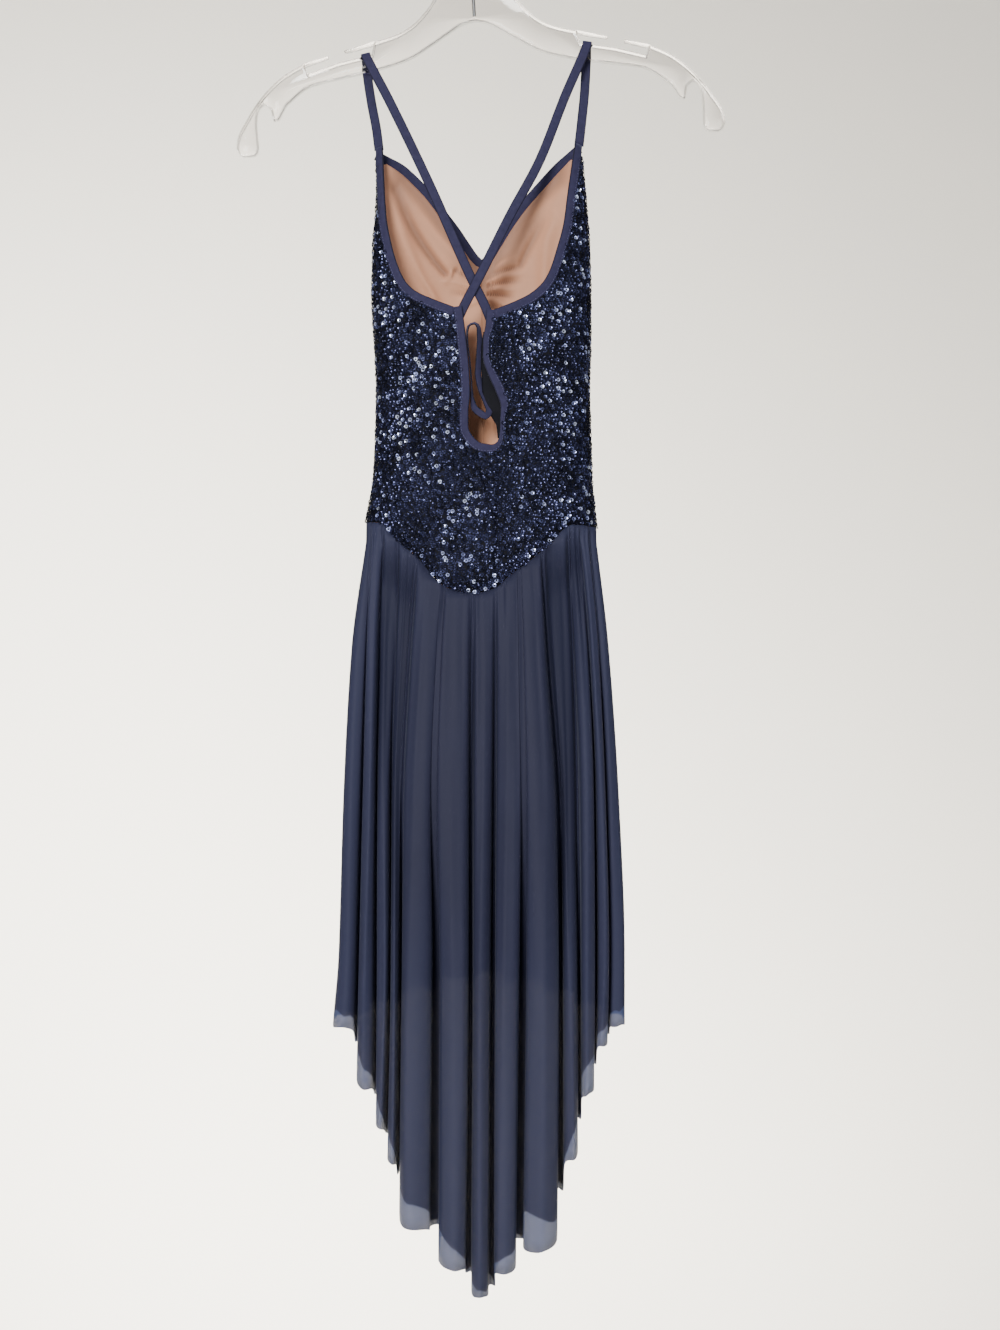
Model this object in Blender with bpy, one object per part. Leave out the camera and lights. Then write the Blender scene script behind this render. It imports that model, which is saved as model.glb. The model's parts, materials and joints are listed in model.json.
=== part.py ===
# High-low dress on a clear hanger. Metres, +Z up.
# The origin is where the hook bears. The open back of the dress faces -Y, and its front faces +Y.
# Short tables are in millimetres, as a dressmaker would note them, and MM brings them to metres.
import math

import bmesh
import bpy
import numpy as np
from mathutils import Matrix, Vector

MM = 0.001

# Cloth and tape
PANEL_WALL = 1.2
LINING_WALL = 1.0
SKIRT_WALL = 1.0
SEAM_GAP = 0.3
TAPE_WIDTH = 8.3
TAPE_WALL = 2.2
STRAP_WALL = 1.6
ARMHOLE_STEP = 12.0
KEYHOLE_STEP = 8.0
NECK_STEP = 10.0
STRAP_STEP = 22.0
LOOP_STEP = 6.5
WAIST_GAP = 0.45

# Bodice: rings from the strap points to below the waist
BODICE_COLUMNS = ("z", "centre", "half", "back", "front")
BODICE_RINGS = (
    (-222, 10.0, 88.5, 15, 14),
    (-238, 10.5, 89.6, 16, 16),
    (-276, 12.5, 91.0, 20, 24),
    (-316, 12.5, 94.0, 24, 31),
    (-360, 12.5, 95.0, 27, 36),
    (-409, 13.8, 93.7, 29, 34),
    (-440, 14.0, 92.5, 30, 32),
    (-484, 14.2, 93.5, 31, 31),
    (-524, 13.6, 95.4, 32, 31),
    (-560, 12.3, 100.4, 33, 32),
    (-600, 12.3, 105.0, 35, 35),
    (-645, 12.3, 110.0, 38, 38),
)
RING_FLATNESS = 0.75

# Dropped waist seam, the same on the front: x and z
WAIST_COLUMNS = ("x", "z")
WAIST = (
    (-92, -558.5),
    (-73, -561.0),
    (-67, -568.5),
    (-56, -579.5),
    (-44, -589.0),
    (-36, -598.0),
    (-23, -613.0),
    (-10, -619.5),
    (8, -621.5),
    (25, -617.5),
    (35, -608.5),
    (57, -592.0),
    (73, -578.0),
    (84, -566.0),
    (92, -562.0),
    (116, -564.0),
)

# Edge of the garment from each strap point down the armhole and along the low back: x and z
ARMHOLE_COLUMNS = ("x", "z")
ARMHOLE_LEFT = (
    (-72.8, -234),
    (-72.0, -255),
    (-71.0, -275),
    (-69.4, -296),
    (-64.7, -320),
    (-58.9, -339),
    (-52.6, -352),
    (-44.0, -360.5),
    (-27.6, -368.5),
    (-12.3, -374.5),
)
ARMHOLE_RIGHT = (
    (93.6, -231),
    (90.6, -252),
    (87.7, -272),
    (84.0, -300),
    (77.7, -324),
    (72.3, -341),
    (65.8, -353),
    (54.4, -363.5),
    (41.0, -370.5),
    (25.3, -377.0),
)

# Keyhole binding: middle of the tape, and how wide it shows where it rolls and turns in
KEYHOLE_COLUMNS = ("x", "z", "width")
KEYHOLE = (
    (-7.7, -375.0, 8.3),
    (-4.8, -399.0, 8.3),
    (-1.8, -429.0, 8.3),
    (-0.9, -450.0, 8.3),
    (-2.2, -466.0, 8.0),
    (-2.2, -479.0, 8.0),
    (3.0, -490.0, 8.0),
    (12.0, -496.6, 8.0),
    (22.0, -497.6, 7.0),
    (28.8, -492.5, 4.6),
    (30.6, -483.0, 3.6),
    (31.2, -471.0, 4.2),
    (33.0, -460.5, 7.2),
    (29.4, -448.0, 8.3),
    (22.4, -433.0, 7.6),
    (17.0, -418.0, 5.6),
    (17.2, -404.0, 5.6),
    (20.4, -389.0, 7.6),
    (20.9, -378.0, 8.0),
)
CENTRE_BACK_SEAM = ((27.6, -499.2), (24.0, -640.0))

# Front neckline binding: middle of the tape
NECK_COLUMNS = ("x", "z")
NECK = (
    (-71.0, -239.5),
    (-59.0, -245.0),
    (-45.5, -256.0),
    (-33.0, -268.5),
    (-21.5, -283.0),
    (-10.0, -297.5),
    (0.5, -312.5),
    (7.0, -321.0),
    (12.6, -324.8),
    (18.2, -321.0),
    (25.3, -310.5),
    (36.9, -292.5),
    (50.2, -275.2),
    (65.2, -259.2),
    (80.5, -244.0),
    (90.5, -236.0),
)

# Straps: middle of the tape, and where its outer face looks (0 up, 90 to the front, -90 to the back)
STRAP_COLUMNS = ("x", "y", "z", "face")
STRAP_LEFT_SLOPE = math.radians(13.9)
STRAP_LEFT = (
    (-77.0, 0.0, -232.4, 90),
    (-79.4, 3.2, -214.0, 90),
    (-84.6, 5.3, -186.0, 90),
    (-88.2, 5.3, -160.0, 90),
    (-88.8, 5.3, -151.9, 88),
    (-88.9, 4.9, -149.9, 45),
    (-88.9, 3.4, -149.3, 3),
    (-88.8, 0.0, -149.2, 0),
    (-88.7, -3.4, -149.3, -3),
    (-88.5, -4.9, -149.9, -45),
    (-88.0, -5.3, -151.9, -88),
    (-85.6, -5.6, -156.9, -90),
    (-68.0, -8.6, -191.0, -90),
    (-32.0, -14.8, -267.0, -90),
    (3.0, -21.2, -347.0, -90),
    (16.4, -24.4, -375.0, -90),
    (20.6, -25.0, -385.5, -90),
)
STRAP_RIGHT_SLOPE = math.radians(-7.5)
STRAP_RIGHT = (
    (98.0, 0.0, -228.6, 90),
    (100.4, 3.2, -208.0, 90),
    (103.4, 5.3, -178.0, 90),
    (104.8, 5.3, -150.0, 90),
    (105.1, 5.3, -141.4, 88),
    (105.2, 4.9, -139.4, 45),
    (105.2, 3.4, -138.8, 3),
    (105.2, 0.0, -138.7, 0),
    (105.2, -3.4, -138.8, -3),
    (105.1, -4.9, -139.4, -45),
    (104.9, -5.3, -141.4, -88),
    (103.2, -5.6, -146.4, -90),
    (86.0, -9.0, -187.0, -90),
    (63.6, -14.2, -245.0, -90),
    (38.0, -19.6, -294.0, -90),
    (11.7, -24.4, -347.6, -90),
    (-2.0, -25.2, -374.0, -90),
    (-6.0, -25.2, -382.5, -90),
)

# Loop of narrow tape in the keyhole: middle of the tape, and the lean of its width (0 along Y, 90 upright)
LOOP_WIDTH = 6.0
LOOP_WALL = 1.1
LOOP_COLUMNS = ("x", "y", "z", "lean")
KEYHOLE_LOOP = (
    (7.0, -24.0, -388.6, 0),
    (10.6, -24.0, -392.6, 0),
    (11.3, -24.0, -405.0, 0),
    (10.8, -24.0, -419.0, 0),
    (9.3, -24.0, -432.0, 0),
    (12.0, -24.5, -444.0, 8),
    (16.8, -26.0, -456.0, 25),
    (19.6, -27.5, -465.0, 55),
    (16.5, -29.0, -469.4, 80),
    (11.5, -29.0, -466.6, 84),
    (6.8, -27.5, -462.0, 60),
    (4.7, -25.5, -452.0, 20),
    (4.1, -24.0, -437.0, 0),
    (2.4, -24.3, -418.0, 0),
    (0.5, -24.6, -400.0, 0),
    (1.7, -24.3, -391.2, 0),
)

# Back skirt: where each fold line lies at five heights, then its hem and how far back it stands
SKIRT_HEIGHTS = (-575, -670, -801, -933)
SKIRT_COLUMNS = ("fold", "top", "high", "middle", "low", "hem", "hem_z", "hem_y")
BACK_FOLDS = (
    ("edge", -88, -101, -108, -112, -117, -994, -0.4),
    ("crest", -84, -94, -99, -103, -107, -996, -22),
    ("valley", -80.5, -85, -91, -94, -96, -1012, -8),
    ("crest", -77.2, -79.8, -83, -86, -87, -1045, -40),
    ("valley", -73.8, -75.8, -77, -77, -78, -1054, -17),
    ("crest", -70.4, -71.8, -71, -70, -73, -1076, -52),
    ("valley", -67, -67.8, -67, -65, -68, -1088, -24),
    ("crest", -63, -63.4, -62, -60, -63, -1103, -61),
    ("valley", -56.5, -58.5, -58, -56, -58, -1120, -29),
    ("crest", -42, -46, -46, -45, -46, -1155, -72),
    ("valley", -23, -28, -27, -25, -26, -1164, -35),
    ("crest", -9, -10, -8, -8, -10, -1186, -78),
    ("valley", 6, 5, 4, 4, 2, -1199, -45),
    ("crest", 14, 15, 15, 14, 11, -1211, -74),
    ("valley", 25, 25, 24, 23, 22, -1212, -41),
    ("crest", 33, 35, 35, 34, 33, -1190, -76),
    ("valley", 45, 47, 49, 48, 45, -1174, -37),
    ("crest", 59, 63, 66, 65, 64, -1171, -78),
    ("valley", 70, 74, 80, 81, 80, -1134, -31),
    ("crest", 77, 81, 87, 88, 89, -1100, -60),
    ("valley", 88, 92, 96, 97, 97, -1074, -23),
    ("crest", 93, 99, 103, 104, 104, -1048, -48),
    ("valley", 98, 106, 111, 112, 111, -1030, -15),
    ("crest", 102, 110, 116, 118, 116, -1010, -34),
    ("valley", 106, 115, 121, 124, 123, -1004, -7),
    ("crest", 110, 120, 127, 131, 130, -996, -18),
    ("edge", 113, 124, 133, 138, 138, -994, -0.4),
)

# Front skirt, shorter at the middle, with like folds on its own spacing
FRONT_FOLDS = (
    ("edge", -88, -101, -108, -112, -117, -994, 0.4),
    ("crest", -84, -93, -98, -101, -105, -992, 19),
    ("valley", -77, -82, -85, -88, -90, -989, 7),
    ("crest", -69, -71, -74, -76, -77, -986, 44),
    ("valley", -57, -59, -60, -62, -63, -982, 18),
    ("crest", -45, -45, -46, -46, -46, -978, 62),
    ("valley", -30, -30, -30, -31, -32, -974, 30),
    ("crest", -16, -14, -13, -12, -13, -970, 73),
    ("valley", 3, 3, 3, 4, 4, -967, 36),
    ("crest", 17, 19, 20, 20, 21, -966, 76),
    ("valley", 34, 35, 36, 37, 37, -968, 37),
    ("crest", 48, 50, 52, 54, 55, -971, 70),
    ("valley", 64, 66, 69, 71, 71, -975, 28),
    ("crest", 75, 79, 83, 86, 86, -979, 58),
    ("valley", 87, 92, 97, 99, 99, -984, 19),
    ("crest", 96, 103, 109, 112, 112, -988, 42),
    ("valley", 104, 112, 118, 121, 121, -991, 9),
    ("crest", 109, 119, 126, 130, 129, -993, 20),
    ("edge", 113, 124, 133, 138, 138, -994, 0.4),
)
CREST_FULLNESS = 0.74
VALLEY_WIDTH = 2.6
VALLEY_SHARE = 0.16
CREST_DROP = 0.26
HEM_DROP = 0.16
FOLD_START = 1.7
BACK_ROWS = 9
FRONT_ROWS = 7
POINTS_PER_FOLD_LINE = 2

# Hanger: half outline about its own upright line, top edge outwards and bottom edge back
HANGER_TILT = math.radians(3.2)
HANGER_WALL = 8.0
HANGER_TOP = (
    (9, -62),
    (11, -74),
    (21, -84),
    (33, -97),
    (42, -109),
    (56, -122),
    (70, -129),
    (89, -134.2),
    (91.5, -144.8),
    (121, -150.5),
    (148, -158.5),
    (151, -149.5),
    (171, -160),
    (190, -177),
    (204, -196),
    (213, -213),
    (214, -221),
    (209, -227),
    (199, -226.5),
    (195, -220),
)
HANGER_BOTTOM = (
    (195.5, -200),
    (194, -188),
    (188.5, -182),
    (182.5, -187),
    (180.5, -197),
    (176, -196),
    (169, -184),
    (147, -168.5),
    (120, -163),
    (97, -159),
    (80, -155.5),
    (57, -148.5),
    (40, -139),
    (23, -128.5),
    (10, -121),
    (0, -119),
)
HOOK_ROD = 3.0
HOOK_BEND = 20.0
HOOK_NECK = ((0, 0, -60.0), (1.5, 0, -54.0), (6.5, 0, -46.5), (13.5, 0, -39.0))
HOOK_START_TURN = -25
HOOK_TIP_TURN = 215
HOOK_STEP = 15
SHANK_FOOT = -116.0
SHANK_BORE = 3.8


for item in list(bpy.data.objects):
    bpy.data.objects.remove(item)


def column(rows, names, name):
    return np.array([row[names.index(name)] for row in rows], float)


def smooth(at, knots, values):
    """A cubic through every knot that never swings past one."""
    knots = np.asarray(knots, float)
    values = np.asarray(values, float)
    step = np.diff(knots)
    rise = np.diff(values) / step
    slope = np.zeros_like(values)
    slope[0] = rise[0]
    slope[-1] = rise[-1]
    same_way = rise[:-1] * rise[1:] > 0
    total = np.where(same_way, rise[:-1] + rise[1:], 1.0)
    slope[1:-1] = np.where(same_way, 2 * rise[:-1] * rise[1:] / total, 0.0)
    at = np.clip(at, knots[0], knots[-1])
    k = np.clip(np.searchsorted(knots, at, side="right") - 1, 0, len(step) - 1)
    t = (at - knots[k]) / step[k]
    return (
        values[k] * (1 + 2 * t) * (1 - t) ** 2
        + slope[k] * step[k] * t * (1 - t) ** 2
        + values[k + 1] * t**2 * (3 - 2 * t)
        + slope[k + 1] * step[k] * t**2 * (t - 1)
    )


def refine(points, spacing, closed=False):
    """The same points, and between them more on a smooth line where they lie far apart."""
    points = np.asarray(points, float)
    whole = np.vstack([points[-3:], points, points[:3]]) if closed else points
    run = np.concatenate([[0], np.cumsum(np.linalg.norm(np.diff(whole[:, :3], axis=0), axis=1))])
    first, last = (3, len(whole) - 3) if closed else (0, len(whole) - 1)
    at = []
    for k in range(first, last):
        pieces = max(1, round((run[k + 1] - run[k]) / spacing))
        at += list(np.linspace(run[k], run[k + 1], pieces, endpoint=False))
    if not closed:
        at.append(run[-1])
    return np.column_stack([smooth(np.array(at), run, part) for part in whole.T])


def unit(vectors):
    return vectors / np.linalg.norm(vectors, axis=-1, keepdims=True)


# Bodice surface: angle 0 at centre back, a right angle at each side, half a turn at centre front
def ring_size(name, z):
    heights = column(BODICE_RINGS, BODICE_COLUMNS, "z")[::-1]
    return smooth(z, heights, column(BODICE_RINGS, BODICE_COLUMNS, name)[::-1])


def bodice(angle, z):
    cosine = np.cos(angle)
    depth = np.where(cosine > 0, ring_size("back", z), ring_size("front", z))
    x = ring_size("centre", z) + ring_size("half", z) * np.sin(angle)
    y = -depth * np.sign(cosine) * np.abs(cosine) ** RING_FLATNESS
    return np.stack([x, y, z + 0 * x], axis=-1)


def bodice_normal(angle, z):
    """Square to the bodice and out of the dress."""
    small = 1e-3
    over = bodice(angle + small, z) - bodice(angle - small, z)
    up = bodice(angle, z + small) - bodice(angle, z - small)
    return unit(np.cross(over, up))


def back_angle(x, z):
    return np.arcsin(np.clip((x - ring_size("centre", z)) / ring_size("half", z), -1, 1))


def front_angle(x, z):
    angle = back_angle(x, z)
    return np.where(angle < 0, -math.pi, math.pi) - angle


def waist(x):
    return smooth(x, column(WAIST, WAIST_COLUMNS, "x"), column(WAIST, WAIST_COLUMNS, "z"))


def waist_height(angle):
    z = np.full_like(angle, WAIST[0][1])
    for _ in range(8):
        z = waist(bodice(angle, z)[..., 0])
    return z


def walk(angle, z, heading, distance, steps=6):
    """Goes this far over the bodice from each place, along a heading given in space."""
    small = 1e-3
    for _ in range(steps):
        along = (bodice(angle + small, z) - bodice(angle - small, z)) / (2 * small)
        up = (bodice(angle, z + small) - bodice(angle, z - small)) / (2 * small)
        gram_aa = (along * along).sum(-1)
        gram_az = (along * up).sum(-1)
        gram_zz = (up * up).sum(-1)
        side_a = (along * heading).sum(-1)
        side_z = (up * heading).sum(-1)
        det = gram_aa * gram_zz - gram_az**2
        angle = angle + distance / steps * (gram_zz * side_a - gram_az * side_z) / det
        z = z + distance / steps * (gram_aa * side_z - gram_az * side_a) / det
    return angle, z


def across_route(angle, z):
    """Unit headings over the bodice, square to a route and to its left."""
    along = np.gradient(bodice(angle, z), axis=0)
    return unit(np.cross(bodice_normal(angle, z), along))


# Solids
def material(name, colour, roughness, metallic=0.0, alpha=1.0):
    made = bpy.data.materials.new(name)
    made.use_nodes = True
    shader = made.node_tree.nodes["Principled BSDF"]
    shader.inputs["Base Color"].default_value = (*colour, 1.0)
    shader.inputs["Roughness"].default_value = roughness
    shader.inputs["Metallic"].default_value = metallic
    shader.inputs["Alpha"].default_value = alpha
    return made


def solid(name, points, faces, finish):
    """A closed mesh in millimetres becomes a named object in metres, its faces pointing out."""
    mesh = bpy.data.meshes.new(name)
    mesh.from_pydata([tuple(point) for point in np.asarray(points) * MM], [], faces)
    shape = bmesh.new()
    shape.from_mesh(mesh)
    if shape.calc_volume(signed=True) < 0:
        bmesh.ops.reverse_faces(shape, faces=shape.faces)
    shape.to_mesh(mesh)
    shape.free()
    mesh.shade_smooth()
    mesh.set_sharp_from_angle(angle=math.radians(50))
    made = bpy.data.objects.new(name, mesh)
    made.data.materials.append(finish)
    bpy.context.scene.collection.objects.link(made)
    return made


def wall(name, grid, normal, inside, outside, finish):
    """A sheet of cloth from a grid on its middle surface, with its wall from inside to outside."""
    long, wide = grid.shape[:2]
    outer = (grid + outside * normal).reshape(-1, 3)
    inner = (grid - inside * normal).reshape(-1, 3)
    points = np.concatenate([outer, inner])
    count = long * wide
    faces = []
    for i in range(long - 1):
        for j in range(wide - 1):
            a, b = i * wide + j, (i + 1) * wide + j
            faces += [(a, a + 1, b + 1), (a, b + 1, b)]
            a, b = count + a, count + b
            faces += [(b + 1, a + 1, a), (b, b + 1, a)]
    rim = [(i, 0) for i in range(long)]
    rim += [(long - 1, j) for j in range(1, wide)]
    rim += [(i, wide - 1) for i in range(long - 2, -1, -1)]
    rim += [(0, j) for j in range(wide - 2, 0, -1)]
    order = [i * wide + j for i, j in rim]
    for here, there in zip(order, order[1:] + order[:1]):
        faces.append((here, there, count + there, count + here))
    return solid(name, points, faces, finish)


def bodice_wall(name, angle, z, inside, outside, finish):
    return wall(name, bodice(angle, z), bodice_normal(angle, z), inside, outside, finish)


def tape(name, route, width, wide_way, thick, finish, closed=False):
    """A flat tape along a route, its width and its thin way given at every station."""
    route = np.asarray(route, float)
    if closed:
        ahead = np.roll(route, -1, axis=0) - np.roll(route, 1, axis=0)
    else:
        ahead = np.gradient(route, axis=0)
    ahead = unit(ahead)
    wide_way = unit(wide_way - (wide_way * ahead).sum(-1, keepdims=True) * ahead)
    thin_way = np.cross(ahead, wide_way)
    corners = ((-0.5, -0.5), (0.5, -0.5), (0.5, 0.5), (-0.5, 0.5))
    rings = [route + a * width * wide_way + b * thick * thin_way for a, b in corners]
    points = np.stack(rings, axis=1).reshape(-1, 3)
    count = len(route)
    faces = []
    for i in range(count if closed else count - 1):
        here, there = 4 * i, 4 * ((i + 1) % count)
        for j in range(4):
            k = (j + 1) % 4
            faces.append((here + j, here + k, there + k, there + j))
    if not closed:
        faces.append((3, 2, 1, 0))
        last = 4 * (count - 1)
        faces.append((last, last + 1, last + 2, last + 3))
    return solid(name, points, faces, finish)


def patch(left, right, top, bottom):
    """A grid of (angle, z) filled in between four edges that meet at their ends."""
    u = np.linspace(0, 1, len(top))[:, None, None]
    v = np.linspace(0, 1, len(left))[None, :, None]
    ruled = (1 - v) * top[:, None, :] + v * bottom[:, None, :]
    ruled = ruled + (1 - u) * left[None, :, :] + u * right[None, :, :]
    corners = (1 - u) * ((1 - v) * top[0] + v * bottom[0])
    corners = corners + u * ((1 - v) * top[-1] + v * bottom[-1])
    return ruled - corners


def on_back(rows):
    """(angle, z) of a route over the back that is given by x and z."""
    x, z = np.asarray(rows, float)[:, 0], np.asarray(rows, float)[:, 1]
    return back_angle(x, z), z


# Armhole and low-back bindings
def armhole_route(rows, side):
    angle, z = on_back(refine(rows, ARMHOLE_STEP))
    heading = across_route(angle, z)
    # The tape lies on the outer and lower side of the garment's edge.
    outward = (heading[:, 0] * side - heading[:, 2]) > 0
    return angle, z, np.where(outward[:, None], heading, -heading)


def armhole_binding(name, rows, side, finish):
    angle, z, heading = armhole_route(rows, side)
    lines = [np.stack(walk(angle, z, heading, TAPE_WIDTH * part)) for part in (0, 0.5, 1)]
    over, down = np.stack(lines, axis=-1)
    bodice_wall(name, over, down, TAPE_WALL / 2, TAPE_WALL / 2, finish)


def keyhole_route():
    """The keyhole tape's middle, its width, and the way out of the keyhole, in x and z."""
    rows = refine(KEYHOLE, KEYHOLE_STEP)
    middle, width = rows[:, :2], rows[:, 2:]
    ahead = unit(np.gradient(middle, axis=0))
    outward = np.column_stack([ahead[:, 1], -ahead[:, 0]])
    return middle, width, outward


def keyhole_binding(name, finish):
    middle, width, outward = keyhole_route()
    lines = []
    for part in (-0.5, 0, 0.5):
        lines.append(np.stack(on_back(middle + outward * width * part)))
    over, down = np.stack(lines, axis=-1)
    bodice_wall(name, over, down, TAPE_WALL / 2, TAPE_WALL / 2, finish)


# Back panels, between the side seam, the armhole tape, the keyhole tape and the waist
SEAM_ROWS = 5
SIDE_RADIUS = 8.0
SIDE_MARGIN = 0.08
CORNER_MARGIN = 0.02


def keyhole_side(side):
    """The panel's edge beside the keyhole, from its top corner to the waist, as rows of x and z."""
    middle, width, outward = keyhole_route()
    edge = middle + outward * (width / 2 + SEAM_GAP)
    top, foot = np.array(CENTRE_BACK_SEAM)
    past = int(np.argmax(edge[:, 0] > top[0]))
    run = edge[:past] if side < 0 else edge[past:][::-1]
    down = np.linspace(0, 1, SEAM_ROWS)[:, None]
    foot = np.array([foot[0], float(waist(foot[0])) + WAIST_GAP])
    seam = top + (foot - top) * down + (side * SEAM_GAP / 2, 0)
    return np.vstack([run, seam])


def back_panel(name, armhole, side, finish):
    angle, z, heading = armhole_route(armhole, side)
    top_angle, top_z = walk(angle, z, heading, TAPE_WIDTH + SEAM_GAP)
    side_angle = side * (math.pi / 2 - SEAM_GAP / 2 / SIDE_RADIUS)
    edge = keyhole_side(side)
    # The corner lies where the armhole tape's lower edge meets the keyhole tape.
    meet = float(top_z[-1]) - SEAM_GAP
    corner_x = float(np.interp(-meet, -edge[:, 1], edge[:, 0]))
    edge = np.vstack([[corner_x, meet], edge[edge[:, 1] < meet - TAPE_WALL]])
    corner = np.column_stack(on_back(edge[:1]))
    reach = side * top_angle
    between = (reach < side * side_angle - SIDE_MARGIN) & (reach > side * corner[0, 0] + CORNER_MARGIN)
    start_z = float(np.interp(-side * side_angle, -reach, top_z)) - TAPE_WALL
    top = np.vstack([[side_angle, start_z], np.column_stack([top_angle, top_z])[between], corner])
    right = np.column_stack(on_back(edge))
    foot_angle = np.linspace(side_angle, right[-1, 0], len(top))
    bottom = np.column_stack([foot_angle, waist_height(foot_angle) + WAIST_GAP])
    right[-1] = bottom[-1]
    left = top[0] + (bottom[0] - top[0]) * np.linspace(0, 1, len(right))[:, None]
    grid = patch(left, right, top, bottom)
    half = PANEL_WALL / 2
    bodice_wall(name, grid[..., 0], grid[..., 1], half, half, finish)
    return bodice(bottom[:, 0], bottom[:, 1])


# Front panels and their lining, between the side seam, the neck tape, the centre seam and the waist
FRONT_PANEL_ROWS = 10
FRONT_RADIUS = 90.0


def neck_line(below):
    """A line along the neck tape, this far below its middle, as (angle, z)."""
    rows = refine(NECK, NECK_STEP)
    angle = np.mod(front_angle(rows[:, 0], rows[:, 1]), 2 * math.pi)
    heading = across_route(angle, rows[:, 1])
    downward = np.where(heading[:, 2:] < 0, heading, -heading)
    return walk(angle, rows[:, 1], downward, below)


def neck_binding(name, finish):
    lines = [np.stack(neck_line(TAPE_WIDTH * part)) for part in (-0.5, 0, 0.5)]
    over, down = np.stack(lines, axis=-1)
    bodice_wall(name, over, down, TAPE_WALL / 2, TAPE_WALL / 2, finish)


def front_grid(side):
    angle, z = neck_line(TAPE_WIDTH / 2 + SEAM_GAP)
    if side < 0:
        angle = angle - 2 * math.pi
    side_angle = side * (math.pi / 2 + SEAM_GAP / 2 / SIDE_RADIUS)
    seam_angle = side * (math.pi - SEAM_GAP / 2 / FRONT_RADIUS)
    reach = side * angle
    between = (reach > side * side_angle + SIDE_MARGIN / 2) & (reach < side * seam_angle - CORNER_MARGIN)
    top = np.column_stack([angle, z])[between]
    if side > 0:
        top = top[::-1]
    lowest = float(z[np.argmin(np.abs(np.abs(angle) - math.pi))]) - TAPE_WALL / 2
    top = np.vstack([[side_angle, top[0, 1] - TAPE_WALL / 2], top, [seam_angle, lowest]])
    foot_angle = np.linspace(side_angle, seam_angle, len(top))
    bottom = np.column_stack([foot_angle, waist_height(foot_angle) + WAIST_GAP])
    down = np.linspace(0, 1, FRONT_PANEL_ROWS)[:, None]
    left = top[0] + (bottom[0] - top[0]) * down
    right = top[-1] + (bottom[-1] - top[-1]) * down
    return patch(left, right, top, bottom)


# Skirt panels
def fold_line(row, seam):
    """One fold line's places from the seam to the hem, as a function of the share of its length."""
    values = dict(zip(SKIRT_COLUMNS, row))
    seam = seam[np.argsort(seam[:, 0])]
    seam_y = float(np.interp(values["top"], seam[:, 0], seam[:, 1]))
    seam_z = float(np.interp(values["top"], seam[:, 0], seam[:, 2])) - 2 * WAIST_GAP
    heights = np.array([*SKIRT_HEIGHTS, values["hem_z"]])
    places = np.array([values[name] for name in ("top", "high", "middle", "low", "hem")])

    def at(share):
        z = seam_z + (values["hem_z"] - seam_z) * share
        x = smooth(z, heights[::-1], places[::-1])
        grown = 1 - (1 - share) ** FOLD_START
        y = seam_y + (values["hem_y"] - seam_y) * grown
        return np.stack([x, y, z], axis=-1)

    return at


def skirt_grid(rows, seam, row_count):
    """Crests with broad shoulders between narrow valleys, as a grid from the seam to the hem."""
    share = np.linspace(0, 1, row_count)
    lines = [fold_line(row, seam)(share) for row in rows]
    across = [there[:, 0] - here[:, 0] for here, there in zip(lines, lines[1:])]
    stations = []
    for k, row in enumerate(rows):
        if row[0] == "edge":
            stations.append(lines[k])
            continue
        if row[0] == "valley":
            half = np.minimum(np.minimum(across[k - 1], across[k]) * VALLEY_SHARE, VALLEY_WIDTH / 2)
            aside = np.column_stack([half, 0 * half, 0 * half])
            stations += [lines[k] - aside, lines[k] + aside]
            continue
        before, crest, after = lines[k - 1], lines[k], lines[k + 1]
        shoulder = np.array([CREST_FULLNESS, CREST_DROP, HEM_DROP])
        stations.append(crest + (before - crest) * shoulder)
        stations.append(crest)
        stations.append(crest + (after - crest) * shoulder)
    stations = np.array(stations)
    fine = np.linspace(0, len(stations) - 1, (len(stations) - 1) * POINTS_PER_FOLD_LINE + 1)
    grid = through(fine, stations)
    # The top row follows the waist seam itself.
    order = np.argsort(seam[:, 0])
    for part in (1, 2):
        grid[:, 0, part] = np.interp(grid[:, 0, 0], seam[order, 0], seam[order, part])
    grid[:, 0, 2] -= 2 * WAIST_GAP
    return grid


def skirt(name, rows, seam, row_count, finish):
    grid = skirt_grid(rows, seam, row_count)
    normal = unit(np.cross(np.gradient(grid, axis=0), np.gradient(grid, axis=1)))
    wall(name, grid, normal, SKIRT_WALL / 2, SKIRT_WALL / 2, finish)


def through(at, values):
    """A round curve through evenly numbered values."""
    padded = np.concatenate([[2 * values[0] - values[1]], values, [2 * values[-1] - values[-2]]])
    k = np.clip(np.floor(at).astype(int), 0, len(values) - 2)
    t = (at - k)[:, None, None]
    p0, p1, p2, p3 = padded[k], padded[k + 1], padded[k + 2], padded[k + 3]
    bend = 0.4
    return (
        p1 * (1 - 3 * t**2 + 2 * t**3)
        + p2 * (3 * t**2 - 2 * t**3)
        + bend * (p2 - p0) * (t - 2 * t**2 + t**3)
        + bend * (p3 - p1) * (t**3 - t**2)
    )


# Straps and loop
def strap(name, rows, slope, finish):
    fine = refine(rows, STRAP_STEP)
    face = np.radians(fine[:, 3])
    up = np.cos(face)
    looks = np.column_stack([-math.sin(slope) * up, np.sin(face), math.cos(slope) * up])
    ahead = unit(np.gradient(fine[:, :3], axis=0))
    tape(name, fine[:, :3], TAPE_WIDTH, np.cross(ahead, looks), STRAP_WALL, finish)


def keyhole_loop(name, finish):
    fine = refine(KEYHOLE_LOOP, LOOP_STEP, closed=True)
    lean = np.radians(fine[:, 3])
    wide_way = np.column_stack([np.zeros(len(fine)), -np.cos(lean), np.sin(lean)])
    tape(name, fine[:, :3], LOOP_WIDTH, wide_way, LOOP_WALL, finish, closed=True)


# Hanger and hook
def hanger_turn():
    return Matrix.Rotation(-HANGER_TILT, 4, "Y")


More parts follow.
